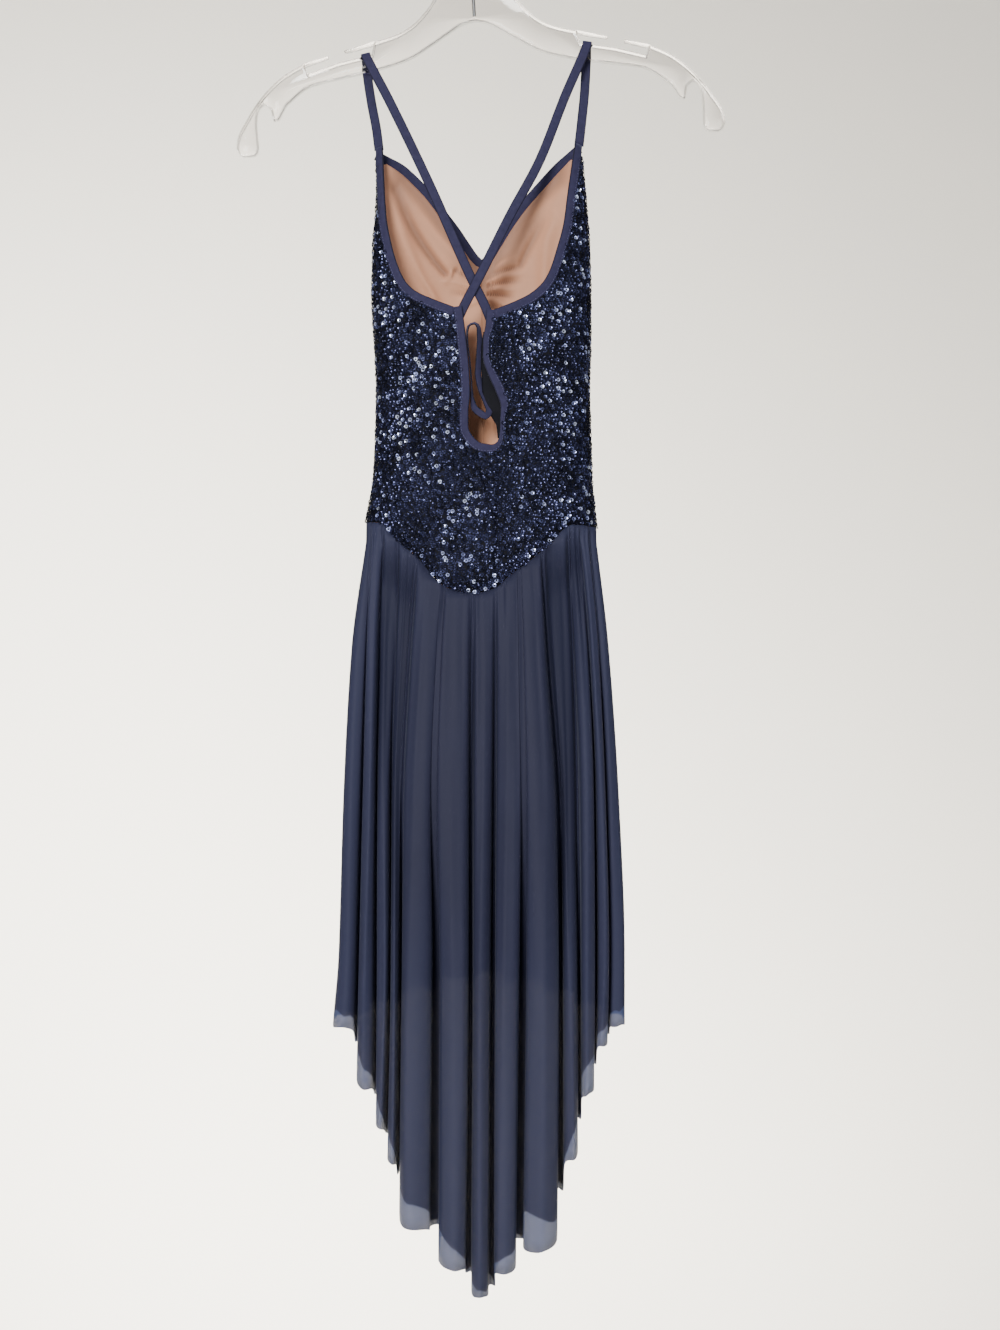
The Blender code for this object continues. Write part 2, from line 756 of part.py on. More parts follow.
def hanger(name, finish):
    half = [*HANGER_TOP, *HANGER_BOTTOM]
    mirrored = [(-x, z) for x, z in half[-2::-1]]
    outline = [*half, *mirrored]
    mesh = bpy.data.meshes.new(name)
    shape = bmesh.new()
    rim = [shape.verts.new((x * MM, -HANGER_WALL / 2 * MM, z * MM)) for x, z in outline]
    face = shape.faces.new(rim)
    grown = bmesh.ops.extrude_face_region(shape, geom=[face])
    moved = [item for item in grown["geom"] if isinstance(item, bmesh.types.BMVert)]
    bmesh.ops.translate(shape, verts=moved, vec=(0, HANGER_WALL * MM, 0))
    bmesh.ops.recalc_face_normals(shape, faces=shape.faces)
    bmesh.ops.transform(shape, matrix=hanger_turn(), verts=shape.verts)
    shape.to_mesh(mesh)
    shape.free()
    mesh.set_sharp_from_angle(angle=math.radians(40))
    made = bpy.data.objects.new(name, mesh)
    made.data.materials.append(finish)
    bpy.context.scene.collection.objects.link(made)
    return made


def rod(name, route, thickness, finish):
    curve = bpy.data.curves.new(name, "CURVE")
    curve.dimensions = "3D"
    curve.bevel_depth = thickness / 2 * MM
    curve.bevel_resolution = 2
    curve.use_fill_caps = True
    line = curve.splines.new("POLY")
    line.points.add(len(route) - 1)
    for point, place in zip(line.points, route):
        point.co = (*(hanger_turn() @ Vector(place) * MM), 1.0)
    made = bpy.data.objects.new(name, curve)
    made.data.materials.append(finish)
    bpy.context.scene.collection.objects.link(made)
    return made


def shank_cutter(name):
    """The hole in the hanger's neck that takes the shank, open at the top."""
    top = HANGER_TOP[0][1] + HANGER_WALL
    depth = top - SHANK_FOOT + SEAM_GAP
    mesh = bpy.data.meshes.new(name)
    shape = bmesh.new()
    radius = SHANK_BORE / 2 * MM
    bmesh.ops.create_cone(
        shape, cap_ends=True, segments=12, radius1=radius, radius2=radius, depth=depth * MM
    )
    bmesh.ops.translate(shape, verts=shape.verts, vec=(0, 0, (top - depth / 2) * MM))
    bmesh.ops.transform(shape, matrix=hanger_turn(), verts=shape.verts)
    shape.to_mesh(mesh)
    shape.free()
    made = bpy.data.objects.new(name, mesh)
    made.hide_render = True
    made.display_type = "WIRE"
    bpy.context.scene.collection.objects.link(made)
    return made


def hook_route():
    """Up from the foot of the shank, out to one side, and over the bend to the open tip."""
    turn = HOOK_BEND + HOOK_ROD / 2
    route = [(0, 0, SHANK_FOOT), *HOOK_NECK]
    for degrees in range(HOOK_START_TURN, HOOK_TIP_TURN + 1, HOOK_STEP):
        angle = math.radians(degrees)
        route.append((turn * math.cos(angle), 0, turn * math.sin(angle) - HOOK_BEND))
    return route


def main():
    clear = material("clear_plastic", (0.86, 0.85, 0.83), 0.12, alpha=0.35)
    steel = material("hook_steel", (0.62, 0.62, 0.63), 0.25, metallic=1.0)
    body = hanger("hanger", clear)
    cut = body.modifiers.new("shank", "BOOLEAN")
    cut.operation = "DIFFERENCE"
    cut.object = shank_cutter("shank_cutter")
    rod("hanger_hook", hook_route(), HOOK_ROD, steel)

    navy_tape = (0.035, 0.037, 0.11)
    knit = material("strap_left_knit", navy_tape, 0.75)
    strap("strap_left", STRAP_LEFT, STRAP_LEFT_SLOPE, knit)
    knit = material("strap_right_knit", navy_tape, 0.75)
    strap("strap_right", STRAP_RIGHT, STRAP_RIGHT_SLOPE, knit)
    keyhole_loop("keyhole_loop", material("loop_knit", navy_tape, 0.75))
    knit = material("armhole_left_knit", navy_tape, 0.75)
    armhole_binding("binding_armhole_left", ARMHOLE_LEFT, -1, knit)
    knit = material("armhole_right_knit", navy_tape, 0.75)
    armhole_binding("binding_armhole_right", ARMHOLE_RIGHT, 1, knit)
    keyhole_binding("binding_keyhole", material("keyhole_knit", navy_tape, 0.75))
    neck_binding("binding_neck", material("neck_knit", navy_tape, 0.75))

    sequins = (0.012, 0.014, 0.05)
    finish = material("back_left_sequins", sequins, 0.35)
    back_seam = [back_panel("bodice_back_left", ARMHOLE_LEFT, -1, finish)]
    finish = material("back_right_sequins", sequins, 0.35)
    back_seam.append(back_panel("bodice_back_right", ARMHOLE_RIGHT, 1, finish))
    nude = (0.62, 0.42, 0.31)
    half = PANEL_WALL / 2
    lined = half + SEAM_GAP
    front_seam = []
    for side, word in ((-1, "left"), (1, "right")):
        angle, z = np.moveaxis(front_grid(side), -1, 0)
        finish = material(f"front_{word}_sequins", sequins, 0.35)
        bodice_wall(f"bodice_front_{word}", angle, z, half, half, finish)
        finish = material(f"lining_{word}_nude", nude, 0.7)
        bodice_wall(f"lining_front_{word}", angle, z, lined + LINING_WALL, -lined, finish)
        front_seam.append(bodice(angle[:, -1], z[:, -1]))

    mesh_cloth = (0.03, 0.033, 0.1)
    finish = material("skirt_back_mesh", mesh_cloth, 0.6)
    skirt("skirt_back", BACK_FOLDS, np.vstack(back_seam), BACK_ROWS, finish)
    finish = material("skirt_front_mesh", mesh_cloth, 0.6)
    skirt("skirt_front", FRONT_FOLDS, np.vstack(front_seam), FRONT_ROWS, finish)


main()
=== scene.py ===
# High-low dress on a clear hanger, seen from its open back
import json
import math

import bmesh
import bpy
import numpy as np
from mathutils import Matrix, Vector

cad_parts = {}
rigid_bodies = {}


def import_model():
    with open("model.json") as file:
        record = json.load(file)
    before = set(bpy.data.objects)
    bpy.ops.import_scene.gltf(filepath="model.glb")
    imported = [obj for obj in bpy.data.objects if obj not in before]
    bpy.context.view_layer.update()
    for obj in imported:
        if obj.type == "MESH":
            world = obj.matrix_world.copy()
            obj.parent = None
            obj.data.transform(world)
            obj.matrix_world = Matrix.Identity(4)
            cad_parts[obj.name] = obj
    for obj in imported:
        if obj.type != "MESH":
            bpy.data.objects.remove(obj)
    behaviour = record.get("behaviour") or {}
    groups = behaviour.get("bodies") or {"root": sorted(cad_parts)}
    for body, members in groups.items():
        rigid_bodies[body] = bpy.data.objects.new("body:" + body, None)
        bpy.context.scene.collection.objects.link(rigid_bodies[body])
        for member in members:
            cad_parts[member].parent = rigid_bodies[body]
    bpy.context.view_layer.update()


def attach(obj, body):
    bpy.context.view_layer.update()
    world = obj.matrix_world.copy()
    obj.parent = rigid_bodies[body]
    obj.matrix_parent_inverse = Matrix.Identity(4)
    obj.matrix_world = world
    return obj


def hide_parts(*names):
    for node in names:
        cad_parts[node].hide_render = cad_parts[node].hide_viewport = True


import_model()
dice = np.random.default_rng(12)
mm = 0.001  # the tables below are in millimetres, noted off the garment


# Lines and surfaces

def smoothLine(at, knots, values):
    # a cubic through every knot that never swings past one
    knots = np.asarray(knots, float)
    values = np.asarray(values, float)
    step = np.diff(knots)
    rise = np.diff(values) / step
    slope = np.zeros_like(values)
    slope[0], slope[-1] = rise[0], rise[-1]
    sameWay = rise[:-1] * rise[1:] > 0
    total = np.where(sameWay, rise[:-1] + rise[1:], 1.0)
    slope[1:-1] = np.where(sameWay, 2 * rise[:-1] * rise[1:] / total, 0.0)
    at = np.clip(at, knots[0], knots[-1])
    k = np.clip(np.searchsorted(knots, at, side="right") - 1, 0, len(step) - 1)
    t = (at - knots[k]) / step[k]
    return (
        values[k] * (1 + 2 * t) * (1 - t) ** 2
        + slope[k] * step[k] * t * (1 - t) ** 2
        + values[k + 1] * t**2 * (3 - 2 * t)
        + slope[k + 1] * step[k] * t**2 * (t - 1)
    )


def roundLine(at, values):
    # a round curve through evenly numbered values
    padded = np.concatenate([[2 * values[0] - values[1]], values, [2 * values[-1] - values[-2]]])
    k = np.clip(np.floor(at).astype(int), 0, len(values) - 2)
    t = (at - k).reshape((-1,) + (1,) * (values.ndim - 1))
    before, here, there, after = padded[k], padded[k + 1], padded[k + 2], padded[k + 3]
    bend = 0.4
    return (
        here * (1 - 3 * t**2 + 2 * t**3)
        + there * (3 * t**2 - 2 * t**3)
        + bend * (there - before) * (t - 2 * t**2 + t**3)
        + bend * (after - here) * (t**3 - t**2)
    )


def runLength(line):
    # how far along a line each of its points lies
    return np.concatenate([[0], np.cumsum(np.linalg.norm(np.diff(line, axis=0), axis=1))])


def alongLine(at, run, line):
    return np.column_stack([np.interp(at, run, part) for part in line.T])


def straightLine(start, end, count):
    return start + (end - start) * np.linspace(0, 1, count)[:, None]


def refineLine(points, spacing, closed=False):
    # the same points, with more between them where they lie far apart
    points = np.asarray(points, float)
    whole = np.vstack([points[-3:], points, points[:3]]) if closed else points
    run = runLength(whole[:, :3])
    first, last = (3, len(whole) - 3) if closed else (0, len(whole) - 1)
    at = []
    for k in range(first, last):
        pieces = max(1, round((run[k + 1] - run[k]) / spacing))
        at += list(np.linspace(run[k], run[k + 1], pieces, endpoint=False))
    if not closed:
        at.append(run[-1])
    return np.column_stack([smoothLine(np.array(at), run, part) for part in whole.T])


def easeIn(value, low, high):
    t = np.clip((value - low) / (high - low), 0, 1)
    return t * t * (3 - 2 * t)


def unitLength(vectors):
    return vectors / np.maximum(np.linalg.norm(vectors, axis=-1, keepdims=True), 1e-9)


def ripple(at, waves):
    # the sum of sine waves, each given by its rate, its start and its height
    return sum(height * np.sin(at * rate + start) for rate, start, height in waves)


# The bodice is a flat tube: angle 0 at centre back, a right angle at each side, half a turn in front

bodice = {
    "rings": (  # z, centre, half width, depth behind, depth in front
        (-222, 10.0, 88.5, 15, 14),
        (-238, 10.5, 89.6, 16, 16),
        (-276, 12.5, 91.0, 20, 24),
        (-316, 12.5, 94.0, 24, 31),
        (-360, 12.5, 95.0, 27, 36),
        (-409, 13.8, 93.7, 29, 34),
        (-440, 14.0, 92.5, 30, 32),
        (-484, 14.2, 93.5, 31, 31),
        (-524, 13.6, 95.4, 32, 31),
        (-560, 12.3, 100.4, 33, 32),
        (-600, 12.3, 105.0, 35, 35),
        (-645, 12.3, 110.0, 38, 38),
    ),
    "flatness": 0.75,
    "waist": (  # x, z of the dropped waist seam
        (-92, -558.5), (-73, -561.0), (-67, -568.5), (-56, -579.5), (-44, -589.0),
        (-36, -598.0), (-23, -613.0), (-10, -619.5), (8, -621.5), (25, -617.5),
        (35, -608.5), (57, -592.0), (73, -578.0), (84, -566.0), (92, -562.0), (116, -564.0),
    ),
    "centreBackSeam": ((27.6, -499.2), (24.0, -640.0)),
    "clothWall": 0.7,
}


def ringSize(column, z):
    rings = np.array(bodice["rings"], float)[::-1]
    return smoothLine(z, rings[:, 0], rings[:, column])


def bodicePoint(angle, z):
    cosine = np.cos(angle)
    depth = np.where(cosine > 0, ringSize(3, z), ringSize(4, z))
    x = ringSize(1, z) + ringSize(2, z) * np.sin(angle)
    y = -depth * np.sign(cosine) * np.abs(cosine) ** bodice["flatness"]
    return np.stack([x, y, z + 0 * x], axis=-1)


def bodiceWays(angle, z):
    # how a point of the bodice moves with the angle and with the height
    small = 1e-3
    over = bodicePoint(angle + small, z) - bodicePoint(angle - small, z)
    up = bodicePoint(angle, z + small) - bodicePoint(angle, z - small)
    return over / (2 * small), up / (2 * small)


def bodiceOut(angle, z):
    return unitLength(np.cross(*bodiceWays(angle, z)))


def backAngle(x, z):
    return np.arcsin(np.clip((x - ringSize(1, z)) / ringSize(2, z), -1, 1))


def frontAngle(x, z):
    angle = backAngle(x, z)
    return np.where(angle < 0, -math.pi, math.pi) - angle


def waistZ(x):
    line = np.array(bodice["waist"], float)
    return smoothLine(x, line[:, 0], line[:, 1])


def waistHeight(angle):
    z = np.full_like(angle, -560.0)
    for _ in range(8):
        z = waistZ(bodicePoint(angle, z)[..., 0])
    return z


def walkOver(angle, z, heading, distance, steps=6):
    # goes this far over the bodice from each place, along a heading given in space
    for _ in range(steps):
        along, up = bodiceWays(angle, z)
        aa, az, zz = (along * along).sum(-1), (along * up).sum(-1), (up * up).sum(-1)
        sideA, sideZ = (along * heading).sum(-1), (up * heading).sum(-1)
        det = aa * zz - az**2
        angle = angle + distance / steps * (zz * sideA - az * sideZ) / det
        z = z + distance / steps * (aa * sideZ - az * sideA) / det
    return angle, z


def squareHeading(angle, z):
    along = np.gradient(bodicePoint(angle, z), axis=0)
    return unitLength(np.cross(bodiceOut(angle, z), along))


def fillPatch(left, right, top, bottom):
    u = np.linspace(0, 1, len(top))[:, None, None]
    v = np.linspace(0, 1, len(left))[None, :, None]
    ruled = (1 - v) * top[:, None, :] + v * bottom[:, None, :]
    ruled = ruled + (1 - u) * left[None, :, :] + u * right[None, :, :]
    corners = (1 - u) * ((1 - v) * top[0] + v * bottom[0])
    corners = corners + u * ((1 - v) * top[-1] + v * bottom[-1])
    return ruled - corners


# Meshes

def newObject(name, data):
    made = bpy.data.objects.new(name, data)
    bpy.context.scene.collection.objects.link(made)
    return made


def newPiece(name, points, faces, finish, uvs=None):
    mesh = bpy.data.meshes.new(name)
    mesh.from_pydata((np.asarray(points) * mm).tolist(), [], faces)
    if uvs is not None:
        layer = mesh.uv_layers.new(name="UVMap")
        corner = np.empty(len(mesh.loops), np.int32)
        mesh.loops.foreach_get("vertex_index", corner)
        layer.data.foreach_set("uv", np.asarray(uvs, np.float32)[corner].ravel())
    mesh.materials.append(finish)
    mesh.shade_smooth()
    made = newObject(name, mesh)
    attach(made, "root")
    return made


def reshape(piece, change):
    shape = bmesh.new()
    shape.from_mesh(piece.data)
    change(shape)
    shape.to_mesh(piece.data)
    shape.free()


def faceOutwards(piece):
    def flip(shape):
        if shape.calc_volume(signed=True) < 0:
            bmesh.ops.reverse_faces(shape, faces=shape.faces)

    reshape(piece, flip)


def pointValues(piece, name, values):
    layer = piece.data.attributes.new(name, "FLOAT", "POINT")
    layer.data.foreach_set("value", np.asarray(values, np.float32).ravel())


def ringBand(first, second, sides):
    # the faces between two rings of points
    after = [*range(1, sides), 0]
    return [(first + j, first + k, second + k, second + j) for j, k in enumerate(after)]


def gridUv(grid):
    # lengths along both ways of a grid, in metres, so that a weave keeps its size
    over = np.linalg.norm(np.diff(grid, axis=0), axis=-1).mean(axis=1)
    down = np.linalg.norm(np.diff(grid, axis=1), axis=-1).mean(axis=0)
    u = np.concatenate([[0], np.cumsum(over)]) * mm
    v = np.concatenate([[0], np.cumsum(down)]) * mm
    return np.stack(np.meshgrid(u, v, indexing="ij"), axis=-1)


def clothWall(name, grid, out, inside, outside, finish, slotName):
    # a sheet with a thin wall, its two faces and its raw edge all round
    long, wide = grid.shape[:2]
    points = np.concatenate([grid + outside * out, grid - inside * out]).reshape(-1, 3)
    count = long * wide
    faces = []
    for i in range(long - 1):
        for j in range(wide - 1):
            a, b = i * wide + j, (i + 1) * wide + j
            faces.append((a, a + 1, b + 1, b))
            faces.append((count + b, count + b + 1, count + a + 1, count + a))
    rim = [(i, 0) for i in range(long)]
    rim += [(long - 1, j) for j in range(1, wide)]
    rim += [(i, wide - 1) for i in range(long - 2, -1, -1)]
    rim += [(0, j) for j in range(wide - 2, 0, -1)]
    order = [i * wide + j for i, j in rim]
    for here, there in zip(order, order[1:] + order[:1]):
        faces.append((here, there, count + there, count + here))
    flat = gridUv(grid).reshape(-1, 2)
    made = newPiece(name, points, faces, finish, np.concatenate([flat, flat]))
    faceOutwards(made)
    return made


tape = {
    "sides": 14,
    "sideRound": 0.35,  # powers that square off the section, across and through
    "faceRound": 0.6,
    "edgeShadeFrom": 0.74,  # share of the half width where the painted shade along the edges starts
}


def tapePiece(name, node, centre, across, width, thick, closed=False):
    # a soft flat tape: a rounded section swept along its middle line
    centre = np.asarray(centre, float)
    count, sides = len(centre), tape["sides"]
    width = np.broadcast_to(np.asarray(width, float), (count,))
    if closed:
        ahead = np.roll(centre, -1, axis=0) - np.roll(centre, 1, axis=0)
    else:
        ahead = np.gradient(centre, axis=0)
    ahead = unitLength(ahead)
    across = unitLength(across - (across * ahead).sum(-1, keepdims=True) * ahead)
    out = np.cross(ahead, across)
    points, uvs, edgeShade = [], [], []
    run = runLength(centre) * mm
    for k in range(sides):
        turn = 2 * math.pi * (k + 0.5) / sides
        c, s = math.cos(turn), math.sin(turn)
        wide = np.sign(c) * abs(c) ** tape["sideRound"] / 2
        tall = np.sign(s) * abs(s) ** tape["faceRound"] / 2
        points.append(centre + across * (wide * width)[:, None] + out * tall * thick)
        uvs.append(np.column_stack([wide * width * mm, run]))
        edgeShade.append(easeIn(abs(wide) * 2, tape["edgeShadeFrom"], 1))
    faces = []
    for i in range(count if closed else count - 1):
        faces += ringBand(sides * i, sides * ((i + 1) % count), sides)
    if not closed:
        faces.append(tuple(range(sides))[::-1])
        faces.append(tuple(range(sides * (count - 1), sides * count)))
    points, uvs = np.stack(points, axis=1).reshape(-1, 3), np.stack(uvs, axis=1).reshape(-1, 2)
    made = newPiece(name, points, faces, navyKnit, uvs)
    # painted shade along both edges of the tape
    pointValues(made, "paintedEdgeShade", np.tile(edgeShade, count))
    faceOutwards(made)
    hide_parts(node)


def insideLoop(points, loop):
    # which points lie inside a closed outline
    x, y = points[:, 0], points[:, 1]
    inside = np.zeros(len(points), bool)
    for (x1, y1), (x2, y2) in zip(loop, np.roll(loop, -1, axis=0)):
        if y1 == y2:
            continue
        crosses = (y1 > y) != (y2 > y)
        inside ^= crosses & (x < (x2 - x1) * (y - y1) / (y2 - y1) + x1)
    return inside


# Finishes

def setInputs(tree, node, values):
    # links each input to a socket, or sets it to a number or a colour
    for name, value in values.items():
        if isinstance(value, bpy.types.NodeSocket):
            tree.links.new(value, node.inputs[name])
        else:
            node.inputs[name].default_value = (*value, 1) if isinstance(value, tuple) else value


def addNode(tree, kind, values, **settings):
    made = tree.nodes.new("ShaderNode" + kind)
    for name, value in settings.items():
        setattr(made, name, value)
    setInputs(tree, made, values)
    return made.outputs


def mathOf(tree, operation, *values):
    return addNode(tree, "Math", dict(enumerate(values)), operation=operation)[0]


def rangeOf(tree, value, fromMin, fromMax, toMin, toMax):
    values = {"Value": value, "From Min": fromMin, "From Max": fromMax, "To Min": toMin, "To Max": toMax}
    return addNode(tree, "MapRange", values)["Result"]


def mixOf(tree, factor, first, second, kind="RGBA", blend="MIX"):
    values = {"Factor": factor, "A": first, "B": second}
    return addNode(tree, "Mix", values, data_type=kind, blend_type=blend)["Result"]


def attributeOf(tree, name):
    return addNode(tree, "Attribute", {}, attribute_name=name)["Fac"]


def bumpOf(tree, height, strength, distance):
    return addNode(tree, "Bump", {"Height": height, "Strength": strength, "Distance": distance})["Normal"]


def startGroup(name, given, results):
    group = bpy.data.node_groups.new(name, "ShaderNodeTree")
    for title, value in given.items():
        made = group.interface.new_socket(name=title, in_out="INPUT", socket_type="NodeSocketFloat")
        made.default_value = value
    for title in results:
        group.interface.new_socket(name=title, in_out="OUTPUT", socket_type="NodeSocketFloat")
    return group, group.nodes.new("NodeGroupInput").outputs, group.nodes.new("NodeGroupOutput")


def knitGroup():
    # fine wales and courses of a stretch knit, from the piece's own map in metres
    sizes = {"Wale Width": 0.0009, "Course Height": 0.0007}
    group, given, result = startGroup("knitLoops", sizes, ("Height", "Shade"))
    place = addNode(group, "TexCoord", {})
    split = addNode(group, "SeparateXYZ", {0: place["UV"]})
    waves = []
    for axis, size in zip("XY", sizes):
        turns = mathOf(group, "DIVIDE", split[axis], given[size])
        waves.append(mathOf(group, "COSINE", mathOf(group, "MULTIPLY", turns, 2 * math.pi)))
    both = mathOf(group, "MULTIPLY_ADD", waves[1], 0.55, waves[0])
    height = rangeOf(group, both, -1.55, 1.55, 0.0, 1.0)
    fuzz = addNode(group, "TexNoise", {"Vector": place["Object"], "Scale": 260.0, "Detail": 4.0})["Fac"]
    shade = mathOf(group, "MULTIPLY_ADD", height, 0.45, fuzz)
    setInputs(group, result, {"Height": height, "Shade": shade})
    return group


def mottleGroup():
    # broad soft unevenness of dye and handling
    group, given, result = startGroup("clothMottle", {"Size": 18.0}, ("Fac",))
    place = addNode(group, "TexCoord", {})["Object"]
    values = {"Vector": place, "Scale": given["Size"], "Detail": 5.0, "Roughness": 0.6}
    setInputs(group, result, {"Fac": addNode(group, "TexNoise", values)["Fac"]})
    return group


knitLoops = knitGroup()
clothMottle = mottleGroup()


def startMaterial(name):
    made = bpy.data.materials.new(name)
    made.use_nodes = True
    return made, made.node_tree, made.node_tree.nodes["Principled BSDF"]


def knitOf(tree, wale, course):
    values = {"Wale Width": wale, "Course Height": course}
    return addNode(tree, "Group", values, node_tree=knitLoops)


def mottleOf(tree, size):
    return addNode(tree, "Group", {"Size": size}, node_tree=clothMottle)["Fac"]


def knitMaterial(name, dark, light, wale, course, bumpDepth, sheen):
    made, tree, shader = startMaterial(name)
    knit = knitOf(tree, wale, course)
    cloth = mixOf(tree, knit["Shade"], dark, light)
    edge = tuple(0.35 * part for part in dark)  # painted shade along the edges, where they turn under out of the light
    setInputs(tree, shader, {
        "Base Color": mixOf(tree, attributeOf(tree, "paintedEdgeShade"), cloth, edge),
        "Normal": bumpOf(tree, knit["Height"], 0.5, bumpDepth),
        "Roughness": 0.72,
        "Specular IOR Level": 0.2,
        "Sheen Weight": sheen,
        "Sheen Roughness": 0.45,
        "Sheen Tint": (0.55, 0.6, 0.9),
    })
    return made


def liningMaterial():
    made, tree, shader = startMaterial("nudeTricot")
    knit = knitOf(tree, 0.0006, 0.0005)
    warm = mixOf(tree, mottleOf(tree, 26.0), (0.69, 0.335, 0.20), (0.79, 0.395, 0.245))
    # painted shade: the nude goes toward brown in the troughs of the folds
    hollowShade = mathOf(tree, "MULTIPLY", attributeOf(tree, "recessShade"), 0.72)
    shade = mixOf(tree, hollowShade, warm, (0.25, 0.13, 0.088))
    grey = mixOf(tree, knit["Shade"], (0.72, 0.72, 0.72), (1.0, 1.0, 1.0))
    setInputs(tree, shader, {
        "Base Color": mixOf(tree, 0.25, shade, grey, blend="MULTIPLY"),
        "Normal": bumpOf(tree, knit["Height"], 0.3, 0.0001),
        "Roughness": 0.5,
        "Specular IOR Level": 0.25,
        "Sheen Weight": 0.1,
    })
    return made


def sequinMaterial():
    # each sequin has a value from 0 to 1: most near black, some navy, and at the top a few painted glints,
    # bright as if they caught the light
    made, tree, shader = startMaterial("navySequins")
    ramp = tree.nodes.new("ShaderNodeValToRGB")
    steps = (
        (0.0, (0.011, 0.0122, 0.029)),
        (0.50, (0.028, 0.031, 0.074)),
        (0.80, (0.050, 0.056, 0.13)),
        (0.89, (0.085, 0.095, 0.21)),
        # painted glints: the two brightest steps
        (0.915, (0.48, 0.55, 1.0)),
        (1.0, (0.72, 0.79, 1.0)),
    )
    while len(ramp.color_ramp.elements) < len(steps):
        ramp.color_ramp.elements.new(0.5)
    for element, (place, colour) in zip(ramp.color_ramp.elements, steps):
        element.position = place
        element.color = (*colour, 1)
    setInputs(tree, ramp, {"Fac": attributeOf(tree, "toneAndGlint")})
    setInputs(tree, shader, {
        "Base Color": ramp.outputs["Color"],
        "Metallic": 0.7,
        "Roughness": 0.235,
        "Specular IOR Level": 0.2,
    })
    return made


def meshMaterial():
    # sheer stretch mesh, closed where the folds lie over one another and clearer in a single layer
    made, tree, shader = startMaterial("navyStretchMesh")
    knit = knitOf(tree, 0.0012, 0.0012)
    recessShade = attributeOf(tree, "recessShade")
    over = attributeOf(tree, "overLayer")
    navy = mixOf(tree, mottleOf(tree, 14.0), (0.0213, 0.0229, 0.048), (0.028, 0.0302, 0.0635))
    # painted light: lighter toward the hem and at the sides, for the backdrop's light seen through fewer
    # layers
    lower = mixOf(tree, attributeOf(tree, "fall"), navy, (0.0375, 0.0412, 0.084))
    # painted shade in the hollows between the folds
    deep = mixOf(tree, recessShade, lower, (0.0152, 0.0172, 0.040))
    veil = rangeOf(tree, over, -0.8, 0.8, 0.84, 0.95)
    setInputs(tree, shader, {
        # painted light: the single layer at each hem is given a lighter blue, for the lit backdrop behind it
        "Base Color": mixOf(tree, rangeOf(tree, over, 0.8, -0.8, 0.0, 1.0), deep, (0.079, 0.100, 0.212)),
        "Alpha": mixOf(tree, recessShade, veil, 0.99, kind="FLOAT"),
        "Normal": bumpOf(tree, knit["Height"], 0.15, 0.0002),
        "Roughness": 0.62,
        "Specular IOR Level": 0.15,
        "Sheen Weight": 0.1,
        "Sheen Roughness": 0.35,
        "Sheen Tint": (0.6, 0.66, 0.9),
    })
    return made


def clearMaterial():
    made, tree, shader = startMaterial("clearPolystyrene")
    setInputs(tree, shader, {
        "Base Color": (0.985, 0.958, 0.942),
        "Roughness": rangeOf(tree, mottleOf(tree, 30.0), 0.0, 1.0, 0.02, 0.1),
        "Transmission Weight": 1.0,
        "IOR": 1.45,
    })
    return made


def mottledMaterial(name, size, dark, light, roughness, metallic=0.0):
    # a finish that wanders between two colours and, for a pair, between two roughnesses
    made, tree, shader = startMaterial(name)
    patchy = mottleOf(tree, size)
    if isinstance(roughness, tuple):
        roughness = rangeOf(tree, patchy, 0.0, 1.0, *roughness)
    colour = mixOf(tree, patchy, dark, light)
    setInputs(tree, shader, {"Base Color": colour, "Roughness": roughness, "Metallic": metallic})
    return made


navyKnit = knitMaterial(
    "navyKnitTape", (0.015, 0.0138, 0.040), (0.0355, 0.033, 0.084), 0.00085, 0.0007, 0.0003, 0.22
)
navyGround = knitMaterial(
    "navyStretchGround", (0.0009, 0.001, 0.003), (0.0024, 0.0027, 0.0075), 0.0008, 0.0008, 0.0002, 0.0
)
nudeTricot = liningMaterial()
navySequins = sequinMaterial()
navyMesh = meshMaterial()
clearPlastic = clearMaterial()
hookSteel = mottledMaterial("hookSteel", 90.0, (0.42, 0.42, 0.43), (0.66, 0.66, 0.67), (0.16, 0.36), 1.0)
navyThread = mottledMaterial("navyThread", 900.0, (0.05, 0.052, 0.13), (0.12, 0.125, 0.27), 0.5)
print("finishes ready")


# Bindings

